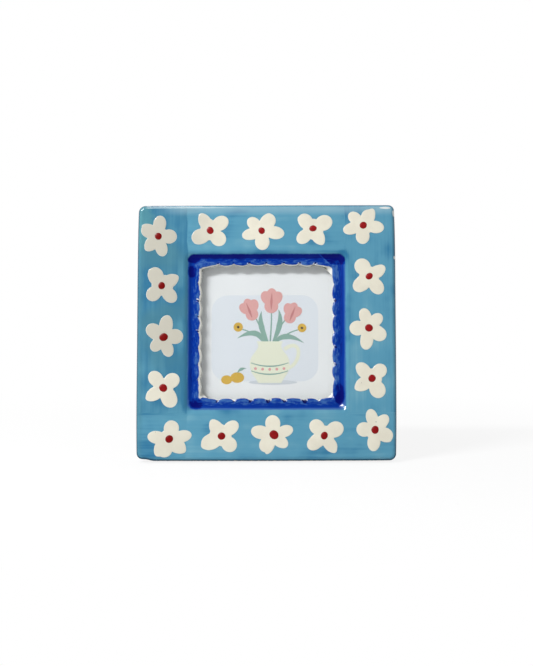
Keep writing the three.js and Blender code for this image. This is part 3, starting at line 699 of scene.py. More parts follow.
# Painted highlight: a pale line along the upper edge, brightest towards its left end
upper = fade(y, 72.0, 77.5) * fade(travel, EDGE_PLACE, EDGE_PLACE - 0.6)
edge_highlight = fade(travel, EDGE_PLACE - 1.5, EDGE_PLACE - 0.9)
edge_highlight *= fade(x, -8.0, -46.0) * fade(x, -76.0, -73.0)
edge_highlight = 0.27 * fade(x, -72.0, -50.0) + 0.6 * edge_highlight
colour = mix(upper * edge_highlight, colour, HIGHLIGHT_PALE)
# Painted shade: a darker rim on the outer rounding and down the wall
rim = fade(travel, EDGE_PLACE, EDGE_PLACE + 1)
rim = 0.85 * rim * fade(travel, EDGE_PLACE + 7, EDGE_PLACE + 3)
colour = mix(rim, colour, RIM_SHADE)
# Middle and half sizes of the painted highlights on the upper right edges
PAINTED_GLINTS = [(73.6, 77.6, 3.6, 0.8), (79.0, 74.2, 0.8, 2.2), (79.3, 46.2, 0.6, 1.2)]
for glint in PAINTED_GLINTS:
    off = oval(face, *glint) + 0.9 * ragged
    glinting = 0.85 * fade(off, 1.1, 0.6) * fade(travel, 40.6, 39.4)
    colour = mix(glinting, colour, LIP_WHITE)
foot = y * math.cos(LEAN) + z * math.sin(LEAN)
foot = fade(foot + 1.5 * ragged, -77.6, -78.4)
unglazed = most(foot, fade(travel + ragged, 51.4, 52.0))
unglazed = most(unglazed, fade(travel, -2.5, -3.3))
# Painted shade on the inner wall under the top lip, deeper towards the right
wall_shade = fade(travel, 0.0, -0.8) * fade(y, 38.0, 40.0) * fade(x, 38.6, 36.6)
wall_shade *= 0.7 + 0.3 * fade(x, -10.0, 36.0)
colour = mix(unglazed, colour, BARE_CLAY)
colour = mix(wall_shade, colour, SHADE_GREY)
link(sockets["Base Color"], colour)
rough = 0.12 + 0.06 * fade(travel, 7.8, 6.8)
link(sockets["Roughness"], rough + 0.6 * unglazed)
link(sockets["Normal"], placed(gloss, Vector=face, Depth=0.5))

# What reaches below the table is ground off, which leaves the flat foot
points, faces, marks = cast_body()
points[:, 2] = np.maximum(points[:, 2], 0)
glazed_body = piece("glazed_body", points, faces, glaze, 60, **marks)
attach(glazed_body, "frame")
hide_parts("ceramic_frame")


# Slip petals: sixteen flowers of cream slip, laid on the border with a loaded brush and fired under
# the glaze, so that they stand a little proud and their thin edges let the blue through.
PETAL_RISE = 0.2
PETAL_HEART = 6.3
PETAL_MIDDLE = 0.58
TIP_ROUND = math.radians(7)
DRAWN_IN, SHIFTED = 0.0042, (-0.25, -0.15)
FLOWER_STEPS, FLOWER_SHRINK = 240, 0.985
SLIP_CROWN, SLIP_UNDER = 0.12, 0.1
CREAM, CREAM_SHADE = (231, 227, 210), (225, 220, 203)
# The second pair: the painted shade of the left-hand petals, and the pale of their thin edges
CREAM_SHADED_LEFT, CREAM_EDGE = (194, 191, 178), (212, 214, 206)
SPECK_BROWN, FLECK_GREY = (96, 88, 74), (70, 66, 60)
FLECK = (67.1, -56.3, 0.36, 0.3)  # middle and half sizes of a dark fleck on one petal
# Each petal's direction, length and width
FLOWERS = {
    "top_1": [(84, 13.4, 8.2), (-1, 11.7, 9.2), (-75, 13.2, 7.6), (227, 11.4, 7.2), (150, 11.9, 8.9)],
    "top_2": [(116, 7.9, 8.9), (36, 13.4, 9.1), (-45, 12.4, 9.5), (211, 13, 9.8)],
    "top_3": [(197, 12.8, 7.2), (137, 11.5, 7.7), (56, 12.4, 9.3), (-9, 14.4, 8.3), (-87, 12.4, 9.2)],
    "top_4": [(134, 11.9, 8.8), (28, 13.2, 9.9), (-64, 7.1, 10), (223, 13.1, 8.2)],
    "top_5": [(138, 11.8, 7.5), (61, 11.1, 8.8), (-8, 13.2, 8), (-93, 12, 8.7), (196, 13.1, 7.4)],
    "right_1": [(124, 12.8, 10), (32, 11.7, 6.8), (-55, 13.4, 8.7), (224, 12.9, 9.1)],
    "right_2": [(107, 13, 7.6), (48, 11.6, 7.6), (-32, 12.2, 9.2), (-100, 14, 8.1), (181, 12.2, 9.4)],
    "right_3": [(134, 13, 7.9), (45, 11.5, 8.9), (-64, 13.3, 9.9), (213, 11.6, 8.1)],
    "bottom_5": [(104, 13.4, 7.4), (49, 11.9, 7.4), (-27, 12, 9), (-96, 13.4, 8.1), (178, 11.6, 9.2)],
    "bottom_4": [(130, 12.1, 9.1), (30, 13.2, 9.9), (-56, 11.9, 7.6), (218, 12.8, 8.4)],
    "bottom_3": [(96, 12.4, 9.4), (19, 12.4, 7.4), (-43, 11, 7), (233, 12.6, 9.2), (169, 14.5, 8.5)],
    "bottom_2": [(129, 7.4, 10.9), (41, 13.2, 8.3), (-47, 12.1, 9.3), (208, 13.7, 9.7)],
    "bottom_1": [(79, 11.8, 9.5), (12, 14.2, 7.5), (-40, 11.1, 9.3), (240, 12.2, 11.3), (172, 13.6, 8)],
    "left_3": [(129, 12.9, 8.8), (41, 12.1, 9.3), (-61, 13.5, 9.8), (214, 12.2, 8)],
    "left_2": [(80, 14.1, 8.3), (3, 12.2, 9.5), (-72, 13, 7.6), (229, 11.2, 7.5), (147, 12.6, 9.1)],
    "left_1": [(120, 13, 9.7), (27, 7.2, 10.6), (-50, 13.3, 8.4), (226, 12.1, 9)],
}
# Where the brush lifted: a tip's direction, reach and spread
TIPS = {
    "top_1": [(229, 12.0, 74), (145, 12.4, 66)], "top_2": [(120, 12.7, 62), (218, 12.9, 70)],
    "top_3": [(64, 12.4, 63), (198, 12.7, 60)], "top_4": [(-59, 12.2, 68), (141, 11.9, 68)],
    "top_5": [(58, 12.4, 62), (194, 12.2, 64)], "right_1": [(30, 11.6, 73), (226, 12.9, 80)],
    "right_2": [(-102, 13.3, 58), (-30, 12.2, 80)], "right_3": [(213, 12.6, 70), (138, 12.9, 64)],
    "bottom_5": [(-35, 12.1, 60), (50, 12.0, 68)], "bottom_4": [(-57, 12.7, 61), (216, 11.9, 80)],
    "bottom_3": [(-46, 10.8, 77), (248, 12.9, 42)], "bottom_2": [(122, 12.1, 72), (209, 14.2, 75)],
    "bottom_1": [(231, 13.3, 80), (-39, 12.9, 76)], "left_3": [(214, 12.9, 66), (-59, 13.5, 78)],
    "left_2": [(78, 14.1, 58), (152, 11.8, 79)], "left_1": [(30, 12.1, 73), (126, 13.0, 69)],
}


def flower_middle(name):
    """Middle of a flower on the face: that of its CAD eye, drawn in by a small share and shifted."""
    return on_face(np.mean(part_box(f"eye_{name}"), axis=0))[:2] * (1 - DRAWN_IN) + SHIFTED


def flower_reach(turn, petals, tips, heart):
    """Outline of a flower: at each angle the farthest of a filled heart, the far side of each petal's
    ellipse, and the straight taper of each tip, rounded at its end."""
    lead, length, width = np.array(petals, float).T
    middle = PETAL_MIDDLE * length
    reach_out = length - middle
    swing = turn[:, None] - np.radians(lead)
    along_petal = np.cos(swing) / reach_out
    a = along_petal**2 + (np.sin(swing) / (width / 2)) ** 2
    b = along_petal * middle / reach_out
    inside = b**2 - a * ((middle / reach_out) ** 2 - 1)
    hit = (inside > 0) & (along_petal > 0)
    reach = np.where(hit, (b + np.sqrt(np.maximum(inside, 0))) / a, 0).max(1)
    for lead, tip, spread in tips:
        off = (turn - math.radians(lead) + np.pi) % (2 * np.pi) - np.pi
        off = np.hypot(off, TIP_ROUND) - TIP_ROUND
        reach = np.maximum(reach, tip * (1 - off / math.radians(spread)))
    return np.maximum(reach, heart)


def fanned(loops, first, last):
    """Points and faces of loops skinned one after the other and closed by a point at each end."""
    rows, count = loops.shape[:2]
    points = np.concatenate((loops.reshape(-1, 3), [first], [last]))
    start, end = rows * count, rows * count + 1
    here = np.arange(count)
    beyond = (here + 1) % count
    near_fan = np.stack((np.full(count, start), beyond, here), -1)
    far_row = (rows - 1) * count
    far_fan = np.stack((np.full(count, end), far_row + here, far_row + beyond), -1)
    quads = ring_faces(rows, count, False)
    return points, [*quads.tolist(), *near_fan.tolist(), *far_fan.tolist()]


def slip_dab(middle, turn, reach, base, rise, edge):
    """A dab of slip: rings of the outline drawn in towards its middle, flat on top and rounded over
    towards the edge by rise times (1 - share ** edge) ** 0.5, with its underside just below base. Also
    how far each point lies in from the outline."""
    share = np.array((0.12, 0.3, 0.48, 0.64, 0.76, 0.85, 0.91, 0.95, 0.975, 0.99, 1.0))[:, None]
    height = base + rise * np.sqrt(1 - share**edge) + SLIP_CROWN * rise * (1 - share**2)
    ray = circle(turn) * reach[:, None]
    flat = middle[:2] + ray * share[..., None]
    top = np.concatenate((flat, np.broadcast_to(height[..., None], (*flat.shape[:2], 1))), -1)
    under = np.concatenate((flat[-1:], np.full((1, len(turn), 1), base - SLIP_UNDER)), -1)
    ends = [(*middle[:2], depth) for depth in (base + (1 + SLIP_CROWN) * rise, base - SLIP_UNDER)]
    points, faces = fanned(np.concatenate((top, under)), *ends)
    inside = np.concatenate(((reach * (1 - share)).ravel(), np.zeros(len(turn)), (1, 0)))
    return points, faces, inside


slip, tree, sockets = coating("cream_slip", IOR=1.5)
face = attribute(tree, "face", "Vector")
edge = attribute(tree, "edge")
hairs = noise(face, 0.8, 3.0)
cloud = noise(face, 0.09, 2.0) + 0.25 * hairs
colour = mix(fade(cloud, 0.45, 0.85), CREAM, CREAM_SHADE)
x, y, _ = parts(face)
# Painted shade: the petals on the left darker, less so towards the bottom
left_petal_shade = fade(x, -20.0, -56.0) * (0.3 + 0.7 * fade(y, -24.0, -12.0))
colour = mix(left_petal_shade, colour, CREAM_SHADED_LEFT)
thin = edge + 0.5 * (hairs - 0.5)
colour = mix(fade(thin, 0.4, 0.0), colour, CREAM_EDGE)
colour = mix(placed(specks, Vector=face), colour, SPECK_BROWN)
colour = mix(fade(oval(face, *FLECK), 1.0, 0.5), colour, FLECK_GREY)
link(sockets["Base Color"], colour)
link(sockets["Roughness"], 0.16 + 0.12 * hairs)
link(sockets["Normal"], placed(gloss, Vector=face, Depth=0.35))

flower_turn = once_round(FLOWER_STEPS)
for name, petals in FLOWERS.items():
    reach = FLOWER_SHRINK * flower_reach(flower_turn, petals, TIPS[name], PETAL_HEART)
    reach = np.convolve(np.tile(reach, 3), (0.25, 0.5, 0.25), "same")[FLOWER_STEPS:2 * FLOWER_STEPS]
    points, faces, inside = slip_dab(flower_middle(name), flower_turn, reach, 0.0, PETAL_RISE, 10)
    made = piece(f"slip_petals_{name}", lean(points), faces, slip, 50, face=points, edge=inside)
    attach(made, "frame")
    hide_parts(f"petals_{name}")


# Slip eyes: a drop of red slip on the heart of each flower, round and full where the brush let go,
# darker at its thin edge, with painted shade on the left, and darker along the bottom.
EYE_RISE, EYE_SUNK, EYE_WOBBLE, EYE_STEPS = 0.4, 0.05, 0.025, 64
# Each eye's half length, half width and direction
EYES = {
    "top_1": (2.25, 2.2, 137), "top_2": (2.4, 2.15, 122), "top_3": (2.25, 2.0, 122),
    "top_4": (2.4, 1.95, 9), "top_5": (2.3, 2.2, 39), "right_1": (2.4, 2.0, 35),
    "right_2": (2.5, 2.35, 158), "right_3": (2.4, 2.3, 69), "bottom_5": (2.5, 2.3, 72),
    "bottom_4": (2.45, 2.15, 65), "bottom_3": (3.0, 2.65, 129), "bottom_2": (2.4, 2.3, 3),
    "bottom_1": (2.55, 2.35, 43), "left_3": (2.65, 2.4, 134), "left_2": (2.75, 2.5, 18),
    "left_1": (2.35, 2.15, 85),
}
RED, RED_LIGHT, RED_DARK = (142, 14, 18), (156, 24, 28), (120, 0, 0)

red, tree, sockets = coating("red_slip", Roughness=0.32, IOR=1.38)
face = attribute(tree, "face", "Vector")
edge = attribute(tree, "edge")
colour = mix(fade(noise(face, 0.5, 2.0), 0.4, 0.7), RED, RED_LIGHT)
x, y, _ = parts(face)
# Painted shade on the left-hand eyes; darker along the bottom and at the thin edge
darker = fade(x, -30.0, -56.0) * (0.4 + 0.6 * fade(y, -32.0, -12.0))
lower = fade(y, -40.0, -60.0) * (0.3 + 0.5 * fade(x, -10.0, -50.0))
darker = most(most(darker, lower), fade(edge, 0.3, 0.0))
colour = mix(darker, colour, RED_DARK)
link(sockets["Base Color"], colour)
link(sockets["Normal"], placed(gloss, Vector=face, Depth=0.5))

eye_turn = once_round(EYE_STEPS)
for number, (name, (long, short, lead)) in enumerate(EYES.items()):
    swing = eye_turn - math.radians(lead)
    reach = long * short / np.hypot(short * np.cos(swing), long * np.sin(swing))
    reach *= 1 + EYE_WOBBLE * wander(EYE_STEPS, 3, 40 + number)
    base = PETAL_RISE - EYE_SUNK
    points, faces, inside = slip_dab(flower_middle(name), eye_turn, reach, base, EYE_RISE, 3.0)
    made = piece(f"slip_eye_{name}", lean(points), faces, red, 50, face=points, edge=inside)
    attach(made, "frame")
    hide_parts(f"eye_{name}")


# Glass: a plain pane, dropped into the rebate from behind. The CAD pane is the right shape, so it
# stays and takes the finish; light passes through it to the picture.
GLASS_GREEN, GLASS_CLEAR = (0.985, 0.995, 0.99, 1), (0.97, 0.98, 0.975, 1)

clear, tree, sockets = coating("clear_pane", IOR=1.46, Transmission_Weight=1.0)
sockets["Base Color"].default_value = GLASS_GREEN
smears = noise(node(tree, "TexCoord")["Object"], 45.0, 4.0, (1, 2.5, 1))
link(sockets["Roughness"], 0.04 * fade(smears, 0.5, 0.75))
through = node(tree, "BsdfTransparent", {"Color": GLASS_CLEAR})
rays = node(tree, "LightPath")
lit = most(rays["Is Shadow Ray"], rays["Is Diffuse Ray"])
plain = Outputs(tree.nodes["Principled BSDF"])[0]
mixed = node(tree, "MixShader", {0: lit, 1: plain, 2: through[0]})
link(tree.nodes["Material Output"].inputs["Surface"], mixed[0])
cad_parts["glass_pane"].material_slots[0].material = clear


# Picture card and filler: a square of coated white card behind the glass, and grey pulp board that
# presses it forward. Both are plain CAD plates, finished with the fibres of paper.
CARD_FRONT = -8.6
CARD_WHITE, CARD_GREY = (234, 235, 238), (226, 227, 231)
PULP, PULP_DARK = (160, 153, 142), (128, 122, 112)
PAPER_FINE = 900.0

fibre, fibre_in, fibre_out = group("paper_fibre", {"Vector": "Vector", "Scale": "Float"}, {"Mask": "Float"})
stretched = node(fibre, "VectorMath", {0: fibre_in["Vector"], 1: (1, 4, 4)}, operation="MULTIPLY")
hairs = node(fibre, "TexNoise", {"Vector": stretched[0], "Scale": fibre_in["Scale"], "Detail": 5.0})
cloud = noise(fibre_in["Vector"], 30.0, 2.0)
link(fibre_out["Mask"], 0.4 * cloud + 0.6 * hairs[0])


def board(name, scale, light, dark, roughness, depth):
    """Paper or board: two tones of fibre on Object coordinates, with a slight tooth."""
    made, tree, sockets = coating(name, Roughness=roughness)
    mask = placed(fibre, Vector=node(tree, "TexCoord")["Object"], Scale=scale)
    link(sockets["Base Color"], mix(fade(mask, 0.3, 0.7), light, dark))
    bump = node(tree, "Bump", {"Height": mask, "Strength": 0.6, "Distance": depth})
    link(sockets["Normal"], bump[0])
    return made


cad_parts["picture_card"].material_slots[0].material = board(
    "white_card", PAPER_FINE, CARD_WHITE, CARD_GREY, 0.6, 0.00002)
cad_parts["filler_card"].material_slots[0].material = board(
    "grey_pulp", 500.0, PULP, PULP_DARK, 0.95, 0.0001)


# Print on the card: flat inks laid one over the other, a plain jug of tulips on a pale wash. Each
# ink is a film a hundredth of a millimetre thick.
INK_FILM, INK_LIFT, INK_STEP = 0.012, 0.01, 0.02
WASH, CAST = (219, 223, 231), (203, 208, 216)
INK_CREAM, INK_PINK, INK_ROSE = (226, 227, 208), (216, 160, 158), (190, 120, 122)
INK_MUSTARD, INK_SAGE, INK_BROWN = (206, 166, 64), (132, 166, 156), (72, 54, 42)


def smooth_path(stops, count):
    """Points along a smooth path through a few stops: a polynomial of their order in each axis."""
    stops = np.array(stops, float)
    at = np.linspace(0, 1, len(stops))
    share = np.linspace(0, 1, count)
    return np.stack([np.polyval(np.polyfit(at, axis, len(stops) - 1), share) for axis in stops.T], -1)


def ink_depths(layer):
    """Upper and under side of a film in this layer of ink, each layer a step above the last."""
    under = CARD_FRONT + INK_LIFT + INK_STEP * layer
    return under + INK_FILM, under


def ink_patch(outline, layer):
    """A film with this outline: its loop at two depths, closed by the middle of the shape."""
    depths = ink_depths(layer)
    loops = np.stack([np.column_stack((outline, np.full(len(outline), d))) for d in depths])
    middle = outline.mean(0)
    return fanned(loops, (*middle, depths[0]), (*middle, depths[1]))


def leftwards(heading):
    """Unit normals to the left of each heading: turned by a right angle and divided by their length."""
    return np.stack((-heading[:, 1], heading[:, 0]), -1) / np.linalg.norm(heading, axis=1)[:, None]


def ink_stroke(stops, widths, layer, count=40):
    """A brush stroke: a path through the stops with a width that changes along it, as a thin strip."""
    path = smooth_path(stops, count)
    normal = leftwards(np.gradient(path, axis=0))
    half = np.interp(np.linspace(0, 1, count), np.linspace(0, 1, len(widths)), widths)[:, None] / 2
    outline = np.concatenate((path + normal * half, (path - normal * half)[::-1]))
    points = np.concatenate([np.column_stack((outline, np.full(2 * count, d))) for d in ink_depths(layer)])
    here = np.arange(count - 1)
    other = 2 * count - 1 - here
    top = np.stack((here, here + 1, other - 1, other), -1)
    under = (top + 2 * count)[:, ::-1]
    rim = np.arange(2 * count)
    after = (rim + 1) % (2 * count)
    walls = np.stack((rim, rim + 2 * count, after + 2 * count, after), -1)
    return points, [*top.tolist(), *under.tolist(), *walls.tolist()]


def corner_box(width, height, radius, x=0.0, y=0.0, steps=8):
    """Outline of a rectangle with round corners, counter-clockwise."""
    turn = np.linspace(0, np.pi / 2, steps)
    quarters = np.concatenate([turn + quarter * np.pi / 2 for quarter in range(4)])
    sign = np.repeat([(1, 1), (-1, 1), (-1, -1), (1, -1)], steps, axis=0)
    rounding = radius * circle(quarters)
    return (x, y) + sign * (width / 2 - radius, height / 2 - radius) + rounding


def disc(x, y, wide, tall=None):
    """Outline of a round or oval dab."""
    turn = once_round(48)
    return (x, y) + (wide, tall or wide) * circle(turn)


def tulip(x, y, tilt, size):
    """Outline of a tulip: three petals that fan out from a round cup."""
    turn = once_round(120)
    cup = [(60, 9.6, 6.2), (90, 10.4, 6.0), (120, 9.6, 6.2)]
    reach = size * flower_reach(turn, [(a + tilt, l, w) for a, l, w in cup], (), 3.9)
    return (x, y) + reach[:, None] * circle(turn)


def jug(x, foot, height, girth):
    """Outline of a jug: half widths at a few heights, smoothed, up one side and down the other."""
    level = np.linspace(0, 1, 60)
    stops = (0, 0.05, 0.25, 0.45, 0.62, 0.78, 0.88, 0.96, 1)
    half = np.interp(level, stops, np.array((0.56, 0.62, 0.9, 1, 0.92, 0.66, 0.55, 0.6, 0.66)) * girth)
    half = np.convolve(np.pad(half, 3, "edge"), np.ones(7) / 7, "valid")
    side = np.stack((half, foot + level * height), -1)
    return (x, 0) + np.concatenate((side, side[::-1] * (-1, 1)))


# Widths along each kind of stroke, then where the stems, leaves, creases and stripes run
STEM, LEAF = (0.7, 0.9, 1.0), (0.3, 2.6, 3.6, 2.4, 0.2)
HANDLE, SPRIG = (2.4, 2.2, 2.2, 2.0), (0.3, 2.0, 0.2)
CREASE, DEEP_CREASE, STRIPE = (0.4, 1.5, 0.3), (0.4, 1.6, 0.3), (0.5, 0.9, 0.5)
STEMS = [
    [(-8.5, 13), (-4, 4), (0.5, -8)], [(3, 18), (3, 6), (2, -8)], [(14, 11), (8, 3), (3.5, -8)],
    [(-16.5, 3), (-7, -1), (0, -8)], [(21, 2.5), (12, -1), (4, -8)],
]
LEAVES = [
    [(0, -7), (-7, 0), (-18, -3)], [(4, -7), (12, -2), (23, -6)],
    [(2, -7), (-3, 4), (-3, 14)], [(3, -7), (8, 5), (7.5, 15)],
]
posy = [
    (WASH, ink_patch(corner_box(66, 54, 10, -1, -3), 0)),
    (CAST, ink_patch(disc(4, -30.6, 15, 1.5), 1)),
]
posy += [(INK_SAGE, ink_stroke(stem, STEM, 2)) for stem in STEMS]
posy += [(INK_SAGE, ink_stroke(leaf, LEAF, 3)) for leaf in LEAVES]
posy += [
    (INK_CREAM, ink_stroke([(11, -10), (19, -9), (18.5, -17), (11, -22)], HANDLE, 4)),
    (INK_CREAM, ink_patch(jug(2, -31, 26, 12.5), 5)),
    (INK_PINK, ink_patch(tulip(-9, 12, 20, 1.0), 5)),
    (INK_PINK, ink_patch(tulip(3, 17, -2, 1.1), 5)),
    (INK_PINK, ink_patch(tulip(14.5, 10, -20, 0.95), 5)),
    (INK_ROSE, ink_stroke([(-9, 10), (-10.5, 14), (-12.5, 19)], CREASE, 6)),
    (INK_ROSE, ink_stroke([(3, 15), (3.1, 20), (3.4, 25.5)], DEEP_CREASE, 6)),
    (INK_ROSE, ink_stroke([(14.5, 8), (16, 12), (17.8, 16.5)], CREASE, 6)),
    (INK_MUSTARD, ink_patch(disc(-17.5, 4, 2.9), 6)),
    (INK_MUSTARD, ink_patch(disc(22, 3.4, 2.7), 6)),
    (INK_BROWN, ink_patch(disc(-17.5, 4, 0.8), 7)),
    (INK_BROWN, ink_patch(disc(22, 3.4, 0.8), 7)),
    (INK_SAGE, ink_stroke([(-9.6, -18.4), (2, -20.6), (13.6, -18.4)], STRIPE, 6)),
    (INK_SAGE, ink_stroke([(-9.4, -23.4), (2, -25.6), (13.4, -23.4)], STRIPE, 6)),
    (INK_MUSTARD, ink_patch(disc(-18, -27.6, 4.2, 3.3), 5)),
    (INK_MUSTARD, ink_patch(disc(-24.6, -29, 3.4, 2.8), 6)),
    (INK_SAGE, ink_stroke([(-18, -24.6), (-15.6, -22.4), (-12.6, -22)], SPRIG, 6)),
]
dots = [disc(2 + 4.4 * step, -22.5 + 0.12 * step * step, 0.9) for step in (-2, -1, 0, 1, 2)]
posy += [(INK_PINK, ink_patch(dot, 6)) for dot in dots]


def joined(shells):
    """Several closed shells as one list of points and faces, each shell looking outwards."""
    starts = np.cumsum([0] + [len(points) for points, _ in shells])
    faces = []
    for shell, start in zip(shells, starts):
        faces += [[at + start for at in face] for face in outwards(*shell)]
    return np.concatenate([points for points, _ in shells]), faces


inked, tree, sockets = coating("matt_ink", Roughness=0.65)
grain = placed(fibre, Vector=node(tree, "TexCoord")["Object"], Scale=PAPER_FINE)
ink = attribute(tree, "ink", "Color")
shade = node(tree, "HueSaturation", {"Value": 0.94 + 0.12 * grain, "Color": ink})
link(sockets["Base Color"], shade[0])

points, faces = joined([shell for _, shell in posy])
inks = np.concatenate([np.tile(paint(*colour), (len(shell[0]), 1)) for colour, shell in posy])
picture_print = piece("picture_print", lean(points), faces, inked, 30, ink=inks)
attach(picture_print, "frame")


# Back panel and strips: black flocked fibreboard that lifts out, between four strips of bare brown
# fibreboard glued into the hollow casting. Sawn plates with their edges just broken.
BOARD_BACK = -14.6
PANEL_SIDE, PANEL_CORNER, PANEL_FRONT, PANEL_BROKEN = 89.2, 1.6, -11.6, 0.4
GLUED_LONG, GLUED_SHORT, GLUED_WIDE, GLUED_OFF = 151.4, 89.4, 30.7, 60.35
GLUED_CORNER, GLUED_FRONT, GLUED_BROKEN = 2.2, -9.6, 0.35
FLOCK, FLOCK_LIGHT = (22, 21, 23), (44, 43, 46)
FIBRE_TAN, FIBRE_BROWN = (166, 132, 94), (134, 102, 68)


def plate(outline, front, back, broken, steps=4, hole=None):
    """A flat piece: its outline drawn in and rounded over at both edges, with one loop further in that
    keeps each face flat. A face is closed by its middle, or by a round hole given as place and radius."""
    inwards = leftwards(np.roll(outline, -1, 0) - np.roll(outline, 1, 0))
    turn = np.linspace(0, np.pi / 2, steps)
    inset = broken * np.append(2, 1 - np.sin(turn))
    depth = broken * np.append(0, 1 - np.cos(turn))
    inset = np.concatenate((inset, inset[::-1]))
    level = np.concatenate((front - depth, (back + depth)[::-1]))
    flat = outline + inwards * inset[:, None, None]
    height = np.broadcast_to(level[:, None, None], (*flat.shape[:2], 1))
    loops = np.concatenate((flat, height), -1)
    if hole is None:
        middle = outline.mean(0)
        return fanned(loops, (*middle, front), (*middle, back))
    ray = outline - hole[:2]
    edge = hole[:2] + hole[2] * ray / np.linalg.norm(ray, axis=1)[:, None]
    mouths = [np.column_stack((edge, np.full(len(edge), end))) for end in (front, back)]
    loops = np.concatenate((mouths[:1], loops, mouths[1:]))
    return loops.reshape(-1, 3), ring_faces(len(loops), len(outline), True)


flock, tree, sockets = coating("black_flock", Roughness=0.95, Sheen_Weight=0.35, Sheen_Roughness=0.5)
place = node(tree, "TexCoord")["Object"]
nap = noise(place, 1400.0, 3.0)
brushed = noise(place, 60.0, 2.0)
tone = 0.6 * nap + 0.5 * brushed
link(sockets["Base Color"], mix(fade(tone, 0.35, 0.85), FLOCK, FLOCK_LIGHT))
bump = node(tree, "Bump", {"Height": nap, "Strength": 0.7, "Distance": 0.0003})
link(sockets["Normal"], bump[0])

panel_outline = corner_box(PANEL_SIDE, PANEL_SIDE, PANEL_CORNER)
points, faces = plate(panel_outline, PANEL_FRONT, BOARD_BACK, PANEL_BROKEN)
flocked_panel = piece("flocked_panel", lean(points), faces, flock, 40)
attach(flocked_panel, "frame")
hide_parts("back_panel")

fibreboard = board("brown_fibreboard", 260.0, FIBRE_TAN, FIBRE_BROWN, 0.85, 0.0002)
for side, wide, tall, x, y in (
    ("top", GLUED_LONG, GLUED_WIDE, 0, GLUED_OFF), ("bottom", GLUED_LONG, GLUED_WIDE, 0, -GLUED_OFF),
    ("left", GLUED_WIDE, GLUED_SHORT, -GLUED_OFF, 0), ("right", GLUED_WIDE, GLUED_SHORT, GLUED_OFF, 0),
):
    strip_outline = corner_box(wide, tall, GLUED_CORNER, x, y)
    points, faces = plate(strip_outline, GLUED_FRONT, BOARD_BACK, GLUED_BROKEN)
    made = piece(f"glued_strip_{side}", lean(points), faces, fibreboard, 40)
    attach(made, "frame")
    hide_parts(f"back_strip_{side}")


# Turn buttons and screws: stamped zinc-plated steel with a pressed rib, each swivelling on a
# round-head screw with a cross recess, driven into the side strips.
SHEET = 0.8
BUTTON_X, BUTTON_Y, BUTTON_DEPTH = 52.4, 25.0, -14.9
BUTTON_LONG, BUTTON_WIDE, BUTTON_END, BUTTON_OFF = 16.0, 8.0, 3.9, 4.0
BUTTON_HOLE, BUTTON_BROKEN = 1.9, 0.2
RIB_LONG, RIB_WIDE, RIB_END, RIB_OFF = 5.6, 2.4, 1.19, 6.6
RIB_UNDER, RIB_TOP, RIB_BROKEN = 0.5, 1.25, 0.5
# Radius and rise of a head, radius and length of its neck, and depth of its recess
SCREW = (3.2, 1.9, 1.5, 5.0, 0.9)
SCREW_SEAT = -16.0
CROSS_ARM, CROSS_REACH = 0.16, 0.58  # shares of the head's radius
ZINC_DULL, ZINC_BRIGHT = (176, 180, 184), (214, 216, 217)

zinc, tree, sockets = coating("zinc_plate", Metallic=1.0)
place = node(tree, "TexCoord")["Object"]
rolled_grain = noise(place, 700.0, 3.0, (6, 1, 1))
bloom = noise(place, 160.0, 3.0)
tone = 0.4 * rolled_grain + 0.6 * bloom
link(sockets["Base Color"], mix(fade(tone, 0.3, 0.7), ZINC_DULL, ZINC_BRIGHT))
link(sockets["Roughness"], 0.22 + 0.2 * tone)


def domed(radius, rise, neck, length, recess=0.0, rings=22, around=72):
    """A round head and its shank along z: rise times a flattened dome, with a cross pressed in where
    a recess is given, standing along -z from z = 0, and the neck running to +z."""
    share = np.sin(np.linspace(0, np.pi / 2, rings + 1)[1:])[:, None]
    turn = once_round(around)
    x, y = radius * share * np.cos(turn), radius * share * np.sin(turn)
    arm = np.minimum(np.abs(x), np.abs(y)) / (CROSS_ARM * radius)
    reach = np.maximum(np.abs(x), np.abs(y)) / (CROSS_REACH * radius)
    cut = np.clip(1.6 - 1.2 * np.maximum(arm, reach), 0, 1)
    height = -rise * np.sqrt(1 - share**2) ** 0.9 + recess * cut * (share < 0.75)
    head = np.stack((x, y, height + 0 * x), -1)
    ring = circle(turn)
    shank = [np.column_stack((ring * r, np.full(around, d))) for r, d in ((neck, 0.0), (neck, length))]
    return fanned(np.concatenate((head, shank)), (0, 0, recess - rise), (0, 0, length))


for side, x in (("left", -BUTTON_X), ("right", BUTTON_X)):
    for level, y in (("upper", BUTTON_Y), ("lower", -BUTTON_Y)):
        tip = math.copysign(1, x)
        outline = corner_box(BUTTON_LONG, BUTTON_WIDE, BUTTON_END, x - BUTTON_OFF * tip, y, 24)
        arm = plate(outline, BUTTON_DEPTH, BUTTON_DEPTH - SHEET, BUTTON_BROKEN, hole=(x, y, BUTTON_HOLE))
        rib_outline = corner_box(RIB_LONG, RIB_WIDE, RIB_END, x - RIB_OFF * tip, y)
        rib = plate(rib_outline, BUTTON_DEPTH - RIB_UNDER, BUTTON_DEPTH - RIB_TOP, RIB_BROKEN)
        points, faces = joined([arm, rib])
        made = piece(f"stamped_button_{side}_{level}", lean(points), faces, zinc, 40)
        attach(made, f"button_{side}_{level}")
        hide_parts(f"turn_button_{side}_{level}")
        screw, faces = domed(*SCREW)
        made = piece(f"cross_screw_{side}_{level}", lean(screw + (x, y, SCREW_SEAT)), faces, zinc, 50)
        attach(made, "frame")
        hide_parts(f"button_screw_{side}_{level}")


